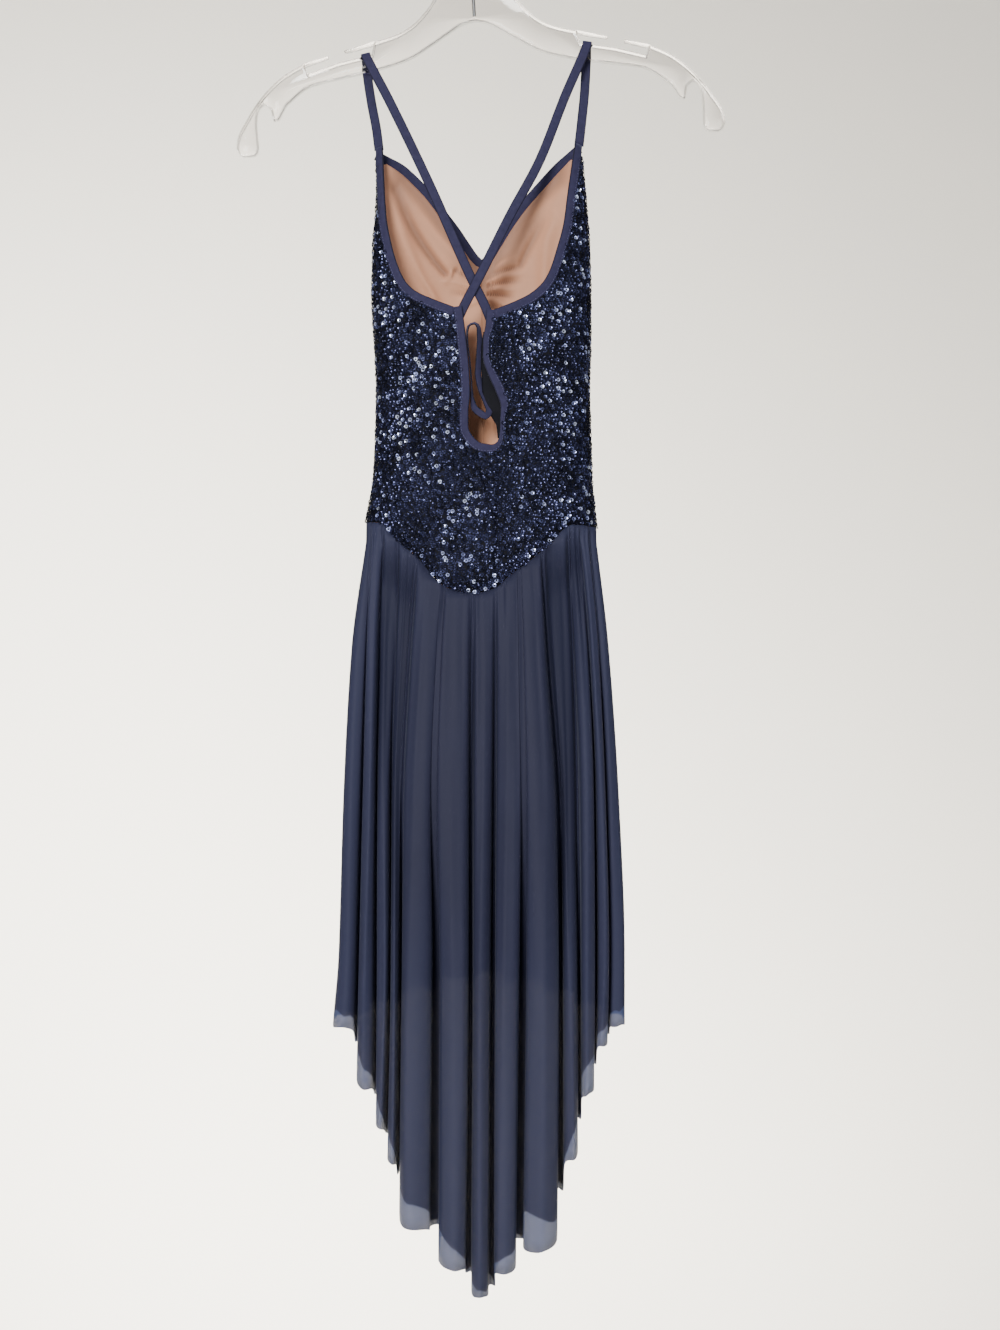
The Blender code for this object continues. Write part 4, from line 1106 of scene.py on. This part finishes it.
skirt = {
    "heights": (-575, -670, -801, -933),
    # x at the four heights and at the hem, hem z, hem y, the share of the length where it starts,
    # how wide it is, and how high the single layer shows at its left and right
    "back": (
        ("edge", -88, -101, -108, -112, -117, -994, 0.7, 0.0, 0, 12, 12),
        ("crest", -86, -95, -99, -103, -107, -996, -26, 0.0, 0.80, 14, 10),
        ("valley", -82.5, -87, -91, -94, -96, -1012, -8, 0.0, 1.4, 4, 4),
        ("crest", -79, -82.5, -84, -86, -87, -1045, -40, 0.0, 0.74, 26, 12),
        ("valley", -72, -76, -78, -78, -78, -1054, -17, 0.0, 1.5, 4, 4),
        ("crest", -65, -69, -70.5, -70, -73, -1076, -52, 0.30, 0.72, 22, 8),
        ("valley", -58, -62, -65.5, -65, -68, -1088, -24, 0.0, 1.3, 4, 4),
        ("crest", -51, -56, -60.5, -60, -63, -1103, -61, 0.40, 0.70, 22, 6),
        ("valley", -41, -49, -55.5, -56, -58, -1120, -29, 0.0, 2.2, 4, 4),
        ("crest", -30, -38, -44, -45, -46, -1155, -72, 0.0, 0.76, 27, 15),
        ("valley", -16, -23, -27, -25, -26, -1164, -35, 0.30, 5.0, 8, 4),
        ("crest", -5, -9, -8, -8, -10, -1186, -78, 0.0, 0.78, 28, 8),
        ("valley", 6, 5, 4, 4, 2, -1199, -45, 0.0, 2.4, 4, 4),
        ("crest", 14, 15, 15, 14, 11, -1211, -74, 0.0, 0.66, 9, 5),
        ("valley", 25, 25, 24, 23, 22, -1212, -41, 0.0, 2.6, 10, 4),
        ("crest", 33, 35, 35, 34, 33, -1190, -76, 0.0, 0.76, 8, 18),
        ("valley", 45, 47, 49, 48, 45, -1174, -37, 0.34, 5.4, 4, 4),
        ("crest", 54, 60, 66, 65, 64, -1171, -78, 0.0, 0.78, 31, 20),
        ("valley", 64, 70, 79, 81, 80, -1134, -31, 0.0, 3.0, 4, 6),
        ("crest", 77, 82, 87, 88, 89, -1100, -60, 0.46, 0.66, 6, 30),
        ("valley", 88, 92, 96, 97, 97, -1074, -23, 0.0, 1.8, 4, 4),
        ("crest", 93, 99, 103, 104, 104, -1048, -48, 0.10, 0.72, 20, 28),
        ("valley", 98, 106, 111, 112, 111, -1030, -15, 0.0, 1.3, 4, 4),
        ("crest", 102, 110, 116, 118, 116, -1010, -34, 0.0, 0.74, 12, 16),
        ("valley", 106, 115, 121, 124, 123, -1004, -7, 0.10, 1.0, 4, 4),
        ("crest", 110, 120, 127, 131, 130, -996, -18, 0.0, 0.80, 12, 16),
        ("edge", 113, 124, 133, 138, 138, -994, 0.7, 0.0, 0, 14, 14),
    ),
    "front": (
        ("edge", -88, -101, -108, -112, -117, -994, -0.7, 0.0, 0, 12, 12),
        ("crest", -84, -93, -98, -101, -105, -992, 19, 0.0, 0.80, 16, 10),
        ("valley", -77, -82, -85, -88, -90, -989, 7, 0.0, 1.6, 4, 4),
        ("crest", -69, -71, -74, -76, -77, -986, 44, 0.18, 0.72, 22, 10),
        ("valley", -57, -59, -60, -62, -63, -982, 18, 0.0, 2.2, 4, 4),
        ("crest", -45, -45, -46, -46, -46, -978, 62, 0.0, 0.76, 26, 16),
        ("valley", -30, -30, -30, -31, -32, -974, 30, 0.28, 3.6, 6, 4),
        ("crest", -16, -14, -13, -12, -13, -970, 73, 0.0, 0.74, 12, 24),
        ("valley", 3, 3, 3, 4, 4, -967, 36, 0.0, 2.6, 4, 4),
        ("crest", 17, 19, 20, 20, 21, -966, 76, 0.0, 0.78, 28, 14),
        ("valley", 34, 35, 36, 37, 37, -968, 37, 0.32, 4.2, 4, 8),
        ("crest", 48, 50, 52, 54, 55, -971, 70, 0.0, 0.74, 16, 24),
        ("valley", 64, 66, 69, 71, 71, -975, 28, 0.0, 2.4, 4, 4),
        ("crest", 75, 79, 83, 86, 86, -979, 58, 0.30, 0.70, 22, 8),
        ("valley", 87, 92, 97, 99, 99, -984, 19, 0.0, 2.0, 4, 4),
        ("crest", 96, 103, 109, 112, 112, -988, 42, 0.0, 0.76, 14, 18),
        ("valley", 104, 112, 118, 121, 121, -991, 9, 0.12, 1.2, 4, 4),
        ("crest", 109, 119, 126, 130, 129, -993, 20, 0.0, 0.80, 12, 14),
        ("edge", 113, 124, 133, 138, 138, -994, -0.7, 0.0, 0, 12, 12),
    ),
    "crestDrop": 0.24,  # share of the way to the next valley that a crest's shoulders fall back
    "hemDrop": 0.16,  # and share of the way to its height along the hem
    "foldStart": 1.7,
    "valleyMost": 0.3,  # of the way to the next crest
    "lateEase": (0.06, 0.34),  # before and after its start, the lengths over which a late fold opens
    "fillEase": (0.12, 0.36),
    "held": 0.62,  # how far a late fold is held back before it starts
    "sunk": 13.0,  # and how far it sinks behind its neighbours
    "lateShade": 0.8,  # how dark the painted shade on a late fold is before it starts
    "paintedPaler": (0.35, 0.95),  # shares of the length between which the cloth is painted lighter, for the backdrop's light seen through fewer layers
    "depthShade": ((0, 3.4), (0.3, 8.0), (0.65, 46.0), (1, 115.0)),  # share, depth of full painted shade
    "sideShade": 1.9,  # how much more depth full painted shade takes at the sides
    "sideShadeFrom": (0.45, 0.9),
    "paintedSideLight": 0.8,  # and how much of that painted light is laid on at the sides
    "paintedSideLightFrom": (0.4, 0.85),
    "wall": 0.5,
    "rows": 78,
    "rowShift": 0.054,  # draws the rows below the middle closer together
    "belowSeam": 0.4,
    "pointsPerLine": 5,
    "sway": 1.1,
    "pleatDepth": 1.3,
    "crease": 0.6,
    "deepest": 0.88,  # share of full painted shade in the deepest folds
    "fallAway": 0.12,  # how fast a crest's cover falls off aside, as far as "reach"
    "reach": 50,
    "pleats": ((1.45, 0, 0.6), (0.83, 1.3, 0.5), (2.3, 0.4, 0.25)),  # rate, start, height
    "pleatDepths": ((0.21, 0.7, 0.45),),
    "pleatLengths": ((0.35, 0, 35),),
    "curlReach": (5.0, 8.0),
    "hemCurl": ((1.7, 0, 0.9), (4.3, 0.5, 0.7)),
    "sheerRipple": ((2.3, 0, 1.2), (5.1, 1, 0.8)),
}


def seamLine(edgeSets):
    return np.vstack([bodicePoint(edges[3][:, 0], edges[3][:, 1]) for edges in edgeSets])


def latePart(rows, k, share):
    # 1 where a late crest hasn't started yet, and as much in a valley between two late crests
    before, after = skirt["lateEase"]

    def waits(row):
        return 1 - easeIn(share, row[8] - before, row[8] + after) if row[8] > 0 else 0 * share

    if rows[k][0] == "crest":
        return waits(rows[k])
    if rows[k][0] == "valley":
        sides = [waits(rows[k - 1]), waits(rows[k + 1])]
        return 0.6 * np.maximum(*sides) + 0.4 * np.minimum(*sides)
    return 0 * share


def foldLines(rows, seam, share):
    # each fold line from the seam to the hem, and how much painted shade a late fold gets while it is sunk,
    # then late folds held back and late valleys filled
    lines, sunkShade = [], []
    for k, row in enumerate(rows):
        top, high, middle, low, hem, hemZ, hemY = row[1:8]
        seamY, seamZ = [float(np.interp(top, seam[:, 0], seam[:, part])) for part in (1, 2)]
        seamZ -= skirt["belowSeam"]
        z = seamZ + (hemZ - seamZ) * share
        heights = np.array([*skirt["heights"], hemZ], float)
        x = smoothLine(z, heights[::-1], np.array([top, high, middle, low, hem], float)[::-1])
        grown = 1 - (1 - share) ** skirt["foldStart"]
        if row[0] == "crest":
            x = x + skirt["sway"] * grown * np.sin(5.3 * share + 2.1 * k)
        late = latePart(rows, k, share)
        grown = grown * (1 - skirt["held"] * late)
        sunk = math.copysign(skirt["sunk"], hemY) * late * easeIn(share, 0, 0.1)
        y = seamY + (hemY - seamY) * grown - sunk
        lines.append(np.stack([x, y, z], axis=-1))
        sunkShade.append(late * easeIn(share, 0, 0.07))
    before, after = skirt["fillEase"]
    for k, row in enumerate(rows):
        if row[0] == "valley" and row[8] > 0:
            started = easeIn(share, row[8] - before, row[8] + after)
            beside = (lines[k - 1][:, 1] + lines[k + 1][:, 1]) / 2 * 0.96
            lines[k][:, 1] = beside + (lines[k][:, 1] - beside) * started
    return lines, sunkShade


def skirtStations(rows, lines, sunkShade, share):
    # crests with broad shoulders between valleys, with the sheer patch and the painted shade at each station
    across = [there[:, 0] - here[:, 0] for here, there in zip(lines, lines[1:])]
    stations, sheer, dark = [], [], []
    for k, row in enumerate(rows):
        wide, sheerLeft, sheerRight = row[9:]
        if row[0] == "edge":
            stations.append(lines[k])
            sheer.append(sheerLeft)
            dark.append(sunkShade[k])
        elif row[0] == "valley":
            grown = wide * (0.35 + 0.65 * share)
            half = np.minimum(np.minimum(across[k - 1], across[k]) * skirt["valleyMost"], grown)
            aside = np.column_stack([half, 0 * half, 0 * half])
            stations += [lines[k] - aside, lines[k] + aside]
            sheer += [sheerLeft, sheerRight]
            dark += [sunkShade[k]] * 2
        else:
            before, crest, after = lines[k - 1], lines[k], lines[k + 1]
            shoulder = np.array([wide, skirt["crestDrop"], skirt["hemDrop"]])
            stations += [crest + (before - crest) * shoulder, crest, crest + (after - crest) * shoulder]
            sheer += [sheerLeft, (sheerLeft + sheerRight) / 2, sheerRight]
            dark += [sunkShade[k]] * 3
    return np.array(stations), np.array(sheer, float), np.array(dark)


def skirtGrid(rows, seam):
    seam = seam[np.argsort(seam[:, 0])]
    share = np.linspace(0, 1, skirt["rows"])
    share = share + skirt["rowShift"] * np.sin(2 * math.pi * share) * (share > 0.5)
    stations, sheer, dark = skirtStations(rows, *foldLines(rows, seam, share), share)
    fine = np.linspace(0, len(stations) - 1, (len(stations) - 1) * skirt["pointsPerLine"] + 1)
    grid = roundLine(fine, stations)
    rise = roundLine(fine, sheer) + ripple(fine, skirt["sheerRipple"])
    dark = roundLine(fine, dark)
    for part in (1, 2):
        grid[:, 0, part] = np.interp(grid[:, 0, 0], seam[:, 0], seam[:, part])
    grid[:, 0, 2] -= skirt["belowSeam"]
    # fine pleats that the seam gathers in, uneven in depth, and gone a hand's width below it
    side = np.sign(grid[:, -1, 1].mean())
    run = grid[:, 0, 0]
    depth = skirt["pleatDepth"] * ripple(run, skirt["pleats"]) * (0.55 + ripple(run, skirt["pleatDepths"]))
    length = 60 + ripple(run, skirt["pleatLengths"])
    down = np.linalg.norm(grid - grid[:, :1], axis=-1)
    faded = np.clip(down / 5, 0, 1) * np.exp(-((down / length[:, None]) ** 1.5))
    grid[..., 1] += side * depth[:, None] * faded
    # slight creases that run on down the cloth
    crease = np.sin(run * 0.62 + 2.2)[:, None] * np.sin(share * 4.1 + run[:, None] * 0.13)
    crease = crease + 0.6 * np.sin(run * 1.1 + 0.5)[:, None] * np.sin(share * 6.3 + run[:, None] * 0.21 + 1)
    grid[..., 1] += side * skirt["crease"] * crease * easeIn(share, 0.02, 0.15)
    # the raw hem curls a little
    toHem = np.linalg.norm(grid - grid[:, -1:], axis=-1)
    curl = np.exp(-toHem / skirt["curlReach"][0]) * ripple(fine, skirt["hemCurl"])[:, None]
    grid[..., 1] += side * curl
    grid[..., 2] += 0.7 * np.exp(-toHem / skirt["curlReach"][1]) * np.sin(fine * 3.1 + 2)[:, None]
    return grid, toHem, np.broadcast_to(rise[:, None], toHem.shape), dark


def sideways(grid):
    # 0 in the middle of the panel, 1 at its sides
    x = grid[..., 0]
    away = np.abs(x - np.mean(x, axis=0))
    return away / np.max(away, axis=0)


def foldRecessShade(grid):
    # painted shade in the hollows between folds: 0 on the crests, 1 where the cloth lies far behind the
    # crests on both sides
    forward = np.abs(grid[..., 1])
    recessShade = np.zeros_like(forward)
    softer = 1 + skirt["sideShade"] * easeIn(sideways(grid), *skirt["sideShadeFrom"])
    deep = np.interp(np.linspace(0, 1, grid.shape[1]), *zip(*skirt["depthShade"]))
    none = -1e3
    for row, (x, ahead) in enumerate(zip(grid[..., 0].T, forward.T)):
        aside = x[None, :] - x[:, None]
        gap = np.abs(aside)
        near = np.where(gap < skirt["reach"], ahead[None, :] - gap * skirt["fallAway"], none)
        leftOf = np.where(aside <= 0, near, none).max(axis=1)
        rightOf = np.where(aside >= 0, near, none).max(axis=1)
        recessShade[:, row] = (np.minimum(leftOf, rightOf) - ahead) / deep[row] / softer[:, row]
    return skirt["deepest"] * easeIn(recessShade, 0.08, 0.92)


def skirtPiece(name, node, rows, edgeSets):
    grid, toHem, rise, dark = skirtGrid(rows, seamLine(edgeSets))
    out = unitLength(np.cross(np.gradient(grid, axis=0), np.gradient(grid, axis=1)))
    wall = skirt["wall"] / 2
    made = clothWall(name, grid, out, wall, wall, navyMesh, "navy_mesh")
    # folds lie over one another, so only a patch at the hem of each is a single layer
    # painted shade in the hollows between folds and over late folds that are still sunk
    recessShade = np.maximum(foldRecessShade(grid), skirt["lateShade"] * dark)
    # painted light toward the hem and at the sides
    fall = np.linspace(0, 1, grid.shape[1])[None, :] * np.ones(grid.shape[:2])
    paintedSideLight = skirt["paintedSideLight"] * easeIn(sideways(grid), *skirt["paintedSideLightFrom"])
    paintedPaleLight = np.maximum(easeIn(fall, *skirt["paintedPaler"]), paintedSideLight)
    for title, values in (("overLayer", toHem - rise), ("recessShade", recessShade), ("fall", paintedPaleLight)):
        pointValues(made, title, [values, values])
    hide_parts(node)
    return made


backSets, frontSets = (backLeftEdges, backRightEdges), (frontLeftEdges, frontRightEdges)
skirtBack = skirtPiece("skirtBackPanel", "skirt_back", skirt["back"], backSets)
skirtFront = skirtPiece("skirtFrontPanel", "skirt_front", skirt["front"], frontSets)
print("skirt hung")


# Stitches along the bindings

stitch = {"pitch": 2.6, "length": 1.9, "radius": 0.22, "sides": 5, "sizes": (0.35, 1.0, 1.0, 0.35)}


def stitchPiece(name, runs):
    points, faces = [], []
    sides, sizes = stitch["sides"], stitch["sizes"]
    for line, out in runs:
        run = runLength(line)
        for start in np.arange(2, run[-1] - 3, stitch["pitch"]):
            at = start + np.linspace(0, stitch["length"], len(sizes))
            place = alongLine(at, run, line)
            up = unitLength(alongLine(at, run, out))
            aside = np.cross(unitLength(np.gradient(place, axis=0)), up)
            base = len(points)
            for k, size in enumerate(sizes):
                middle = place[k] + up[k] * (binding["thick"] / 2 - 0.06 * abs(k - 1.5))
                for j in range(sides):
                    turn = 2 * math.pi * j / sides
                    spread = aside[k] * math.cos(turn) + up[k] * math.sin(turn) * 0.7
                    points.append(middle + spread * stitch["radius"] * size)
            for first in range(base, base + 3 * sides, sides):
                faces += ringBand(first, first + sides, sides)
            faces.append(tuple(range(base, base + sides))[::-1])
            faces.append(tuple(range(base + 3 * sides, base + 4 * sides)))
    faceOutwards(newPiece(name, points, faces, navyThread))


stitchPiece("coverStitch", stitchRuns)
print("stitches run")


# Hanger and hook

hanger = {
    "tilt": math.radians(3.2),
    "wall": 8.0,
    "web": 2.2,
    "rim": 0.95,
    "slope": 0.45,
    "tongue": (2.4, 7.6),  # thick, deep
    "tongues": (((88.0, -134.2), (115.4, -140.6)), ((152.5, -150.6), (129.5, -144.2))),  # root, tip
    "top": (
        (9, -62), (11, -74), (21, -84), (33, -97), (42, -109), (56, -122), (70, -129), (89, -134.2),
        (91.5, -144.8), (121, -150.5), (148, -158.5), (151, -149.5), (171, -160), (190, -177),
        (204, -196), (213, -213), (214, -221), (209, -227), (199, -226.5), (195, -220),
    ),
    "bottom": (
        (195.5, -200), (194, -188), (188.5, -182), (182.5, -187), (180.5, -197), (176, -196),
        (169, -184), (147, -168.5), (120, -163), (97, -159), (80, -155.5), (57, -148.5),
        (40, -139), (23, -128.5), (10, -121), (0, -119),
    ),
    "bevel": 0.4,
    "step": 5.0,
    "smoothAngle": math.radians(40),
}
hook = {
    "rod": 3.0,
    "bend": 20.0,
    "neck": ((0, 0, -116), (0, 0, -90), (0, 0, -60), (1.5, 0, -54), (6.5, 0, -46.5), (13.5, 0, -39)),
    "turns": (-25, 215),
    "step": 4.0,
}
hangerTurn = Matrix.Rotation(-hanger["tilt"], 4, "Y")


def deselectAll():
    for item in bpy.context.view_layer.objects:
        item.select_set(False)


def useOnly(item):
    deselectAll()
    item.select_set(True)
    bpy.context.view_layer.objects.active = item


def editMode(steps):
    bpy.ops.object.mode_set(mode="EDIT")
    bpy.ops.mesh.select_all(action="SELECT")
    steps()
    bpy.ops.object.mode_set(mode="OBJECT")


def hangerOutline():
    # smooth runs between the corners of the slot and of the curl
    top, bottom = hanger["top"], hanger["bottom"]
    runs = (top[:8], top[8:10], top[10:11], [*top[11:], *bottom[:4]], bottom[4:6], bottom[6:])
    right = []
    for run in runs:
        right += [tuple(point) for point in (refineLine(run, hanger["step"]) if len(run) > 2 else run)]
    return [*right, *[(-x, z) for x, z in right[-2::-1]]]


def hangerPiece():
    # one half of the thickness is inset to leave a thin web between rims, then mirrored
    outline = hangerOutline()
    deselectAll()
    bpy.ops.mesh.primitive_circle_add(vertices=len(outline), radius=0.1, fill_type="NGON")
    piece = bpy.context.object
    piece.name = "clearHanger"
    for point, (x, z) in zip(piece.data.vertices, outline):
        point.co = (x * mm, -hanger["wall"] / 2 * mm, z * mm)

    def sinkWeb():
        drop = (hanger["wall"] - hanger["web"]) / 2 * mm
        bpy.ops.mesh.inset(thickness=hanger["rim"] * mm, depth=0)
        bpy.ops.mesh.inset(thickness=hanger["slope"] * mm, depth=0)
        bpy.ops.transform.translate(value=(0, drop, 0))

    def thicken(shape):
        rim = [edge for edge in shape.edges if edge.is_boundary]
        for item in bmesh.ops.extrude_edge_only(shape, edges=rim)["geom"]:
            if isinstance(item, bmesh.types.BMVert):
                item.co.y = 0

    editMode(sinkWeb)
    reshape(piece, thicken)
    mirror = piece.modifiers.new("otherHalf", "MIRROR")
    mirror.use_axis = (False, True, False)
    mirror.use_clip = True
    mirror.merge_threshold = 1e-5
    bpy.ops.object.modifier_apply(modifier="otherHalf")
    finishPlastic(piece)
    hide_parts("hanger")


def finishPlastic(piece):
    def turnAll(shape):
        bmesh.ops.transform(shape, matrix=hangerTurn, verts=shape.verts)
        bmesh.ops.recalc_face_normals(shape, faces=shape.faces)

    soft = piece.modifiers.new("softEdges", "BEVEL")
    soft.width = hanger["bevel"] * mm
    soft.segments = 3
    soft.limit_method = "ANGLE"
    soft.angle_limit = hanger["smoothAngle"]
    useOnly(piece)
    bpy.ops.object.modifier_apply(modifier="softEdges")
    reshape(piece, turnAll)
    piece.data.materials.append(clearPlastic)
    bpy.ops.object.shade_smooth_by_angle(angle=hanger["smoothAngle"])
    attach(piece, "root")


def tonguePiece(name, root, tip):
    # a springy tongue over the strap slot, rounded at its free end
    deselectAll()
    bpy.ops.mesh.primitive_cube_add(size=1)
    piece = bpy.context.object
    piece.name = name
    piece.data.name = name
    thick, deep = hanger["tongue"]
    root, tip = Vector((root[0], 0, root[1])) * mm, Vector((tip[0], 0, tip[1])) * mm
    ahead = (tip - root).normalized()
    aside = Vector((ahead.z, 0, -ahead.x)) * thick * mm
    through = Vector((0, deep * mm, 0))
    for point in piece.data.vertices:
        along, over, up = point.co.x + 0.5, point.co.y, point.co.z
        point.co = root.lerp(tip, along) + (aside * up + through * over) * (1 - 0.25 * along)
    editMode(lambda: bpy.ops.mesh.bevel(offset=0.8 * mm, segments=3, affect="EDGES"))
    finishPlastic(piece)


def hookPiece():
    turn = hook["bend"] + hook["rod"] / 2
    route = list(hook["neck"])
    for degrees in np.linspace(*hook["turns"], 33):
        angle = math.radians(degrees)
        route.append((turn * math.cos(angle), 0, turn * math.sin(angle) - hook["bend"]))
    line = refineLine(route, hook["step"])
    curve = bpy.data.curves.new("steelHook", "CURVE")
    curve.dimensions = "3D"
    curve.bevel_depth = hook["rod"] / 2 * mm
    curve.bevel_resolution = 5
    curve.use_fill_caps = True
    spline = curve.splines.new("POLY")
    spline.points.add(len(line) - 1)
    for point, place in zip(spline.points, line):
        point.co = (*(hangerTurn @ Vector(place) * mm), 1)
    useOnly(newObject("steelHook", curve))
    bpy.ops.object.convert(target="MESH")
    piece = bpy.context.object
    piece.data.materials.append(hookSteel)
    bpy.ops.object.shade_smooth_by_angle(angle=math.radians(50))
    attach(piece, "root")
    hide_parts("hanger_hook")


hangerPiece()
for side, word in ((-1, "Left"), (1, "Right")):
    for (root, tip), where in zip(hanger["tongues"], ("Inner", "Outer")):
        tonguePiece(f"slotTongue{where}{word}", (side * root[0], root[1]), (side * tip[0], tip[1]))
hookPiece()
print("hanger and hook made")


# Room, lights and camera, in metres

room = {
    "front": -9.0,
    "floorZ": -4.6,
    "wallY": 6.0,
    "wallTop": 6.0,
    "cove": 1.5,
    "coveSteps": 8,
    "halfWidth": 12.0,
    "paint": (0.90, 0.862, 0.785),
    "lights": {  # place, aim, size, power, colour
        "windowLight": ((-0.95, -3.6, 0.15), (0.01, 0.0, -0.65), (1.0, 1.1), 150, (1.0, 0.985, 0.955)),
        "fillLight": ((2.2, -3.2, 0.1), (0.01, 0.0, -0.65), (1.2, 1.2), 24, (0.93, 0.96, 1.0)),
        "topLight": ((-0.5, -1.2, 2.2), (0.01, 0.0, -0.65), (1.6, 1.2), 16, (1, 1, 1)),
        "wallLight": ((-2.6, 2.4, -0.45), (-1.3, 6, -1.3), (3.0, 2.5), 500, (1.0, 0.98, 0.935)),
        "lowWallLight": ((-0.6, 2.8, -3.6), (-0.3, 6, -2.0), (5.0, 1.2), 560, (1.0, 0.98, 0.935)),
    },
    "sky": (0.93, 0.95, 1.0, 1),
    "skyStrength": 0.22,
}
view = {"x": 0.028908, "z": -0.68328, "distance": 1.5, "seenWide": 1.16508, "sensor": 36}


def roomPiece():
    cove = room["cove"]
    foot, floor = room["wallY"] - cove, room["floorZ"]
    profile = [(room["front"], floor), (foot, floor)]
    for step in range(1, room["coveSteps"] + 1):
        angle = math.radians(90 * step / room["coveSteps"])
        profile.append((foot + cove * math.sin(angle), floor + cove - cove * math.cos(angle)))
    profile.append((room["wallY"], room["wallTop"]))
    points = [(x, y, z) for x in (-room["halfWidth"], room["halfWidth"]) for y, z in profile]
    count = len(profile)
    faces = [(k, count + k, count + k + 1, k + 1) for k in range(count - 1)]
    mesh = bpy.data.meshes.new("paleRoom")
    mesh.from_pydata(points, [], faces)
    mesh.shade_smooth()
    dark = tuple(value * 0.96 for value in room["paint"])
    mesh.materials.append(mottledMaterial("palePaint", 1.2, dark, room["paint"], 0.9))
    newObject("paleRoom", mesh)


def softLight(name, place, aim, size, power, colour):
    data = bpy.data.lights.new(name, "AREA")
    data.shape = "RECTANGLE"
    data.size, data.size_y = size
    data.energy = power
    data.color = colour
    lamp = newObject(name, data)
    lamp.location = place
    lamp.rotation_euler = (Vector(aim) - Vector(place)).to_track_quat("-Z", "Y").to_euler()


roomPiece()
for name, settings in room["lights"].items():
    softLight(name, *settings)

world = bpy.data.worlds.new("softRoom")
world.use_nodes = True
sky = world.node_tree.nodes["Background"]
sky.inputs["Color"].default_value = room["sky"]
sky.inputs["Strength"].default_value = room["skyStrength"]
bpy.context.scene.world = world

lens = bpy.data.cameras.new("photoView")
lens.sensor_width = view["sensor"]
lens.lens = view["sensor"] * view["distance"] / view["seenWide"]
lens.clip_start = 0.05
lens.clip_end = 60
camera = newObject("photoView", lens)
camera.location = (view["x"], -view["distance"], view["z"])
camera.rotation_euler = (math.radians(90), 0, 0)
bpy.context.scene.camera = camera

print("room lit, camera set")
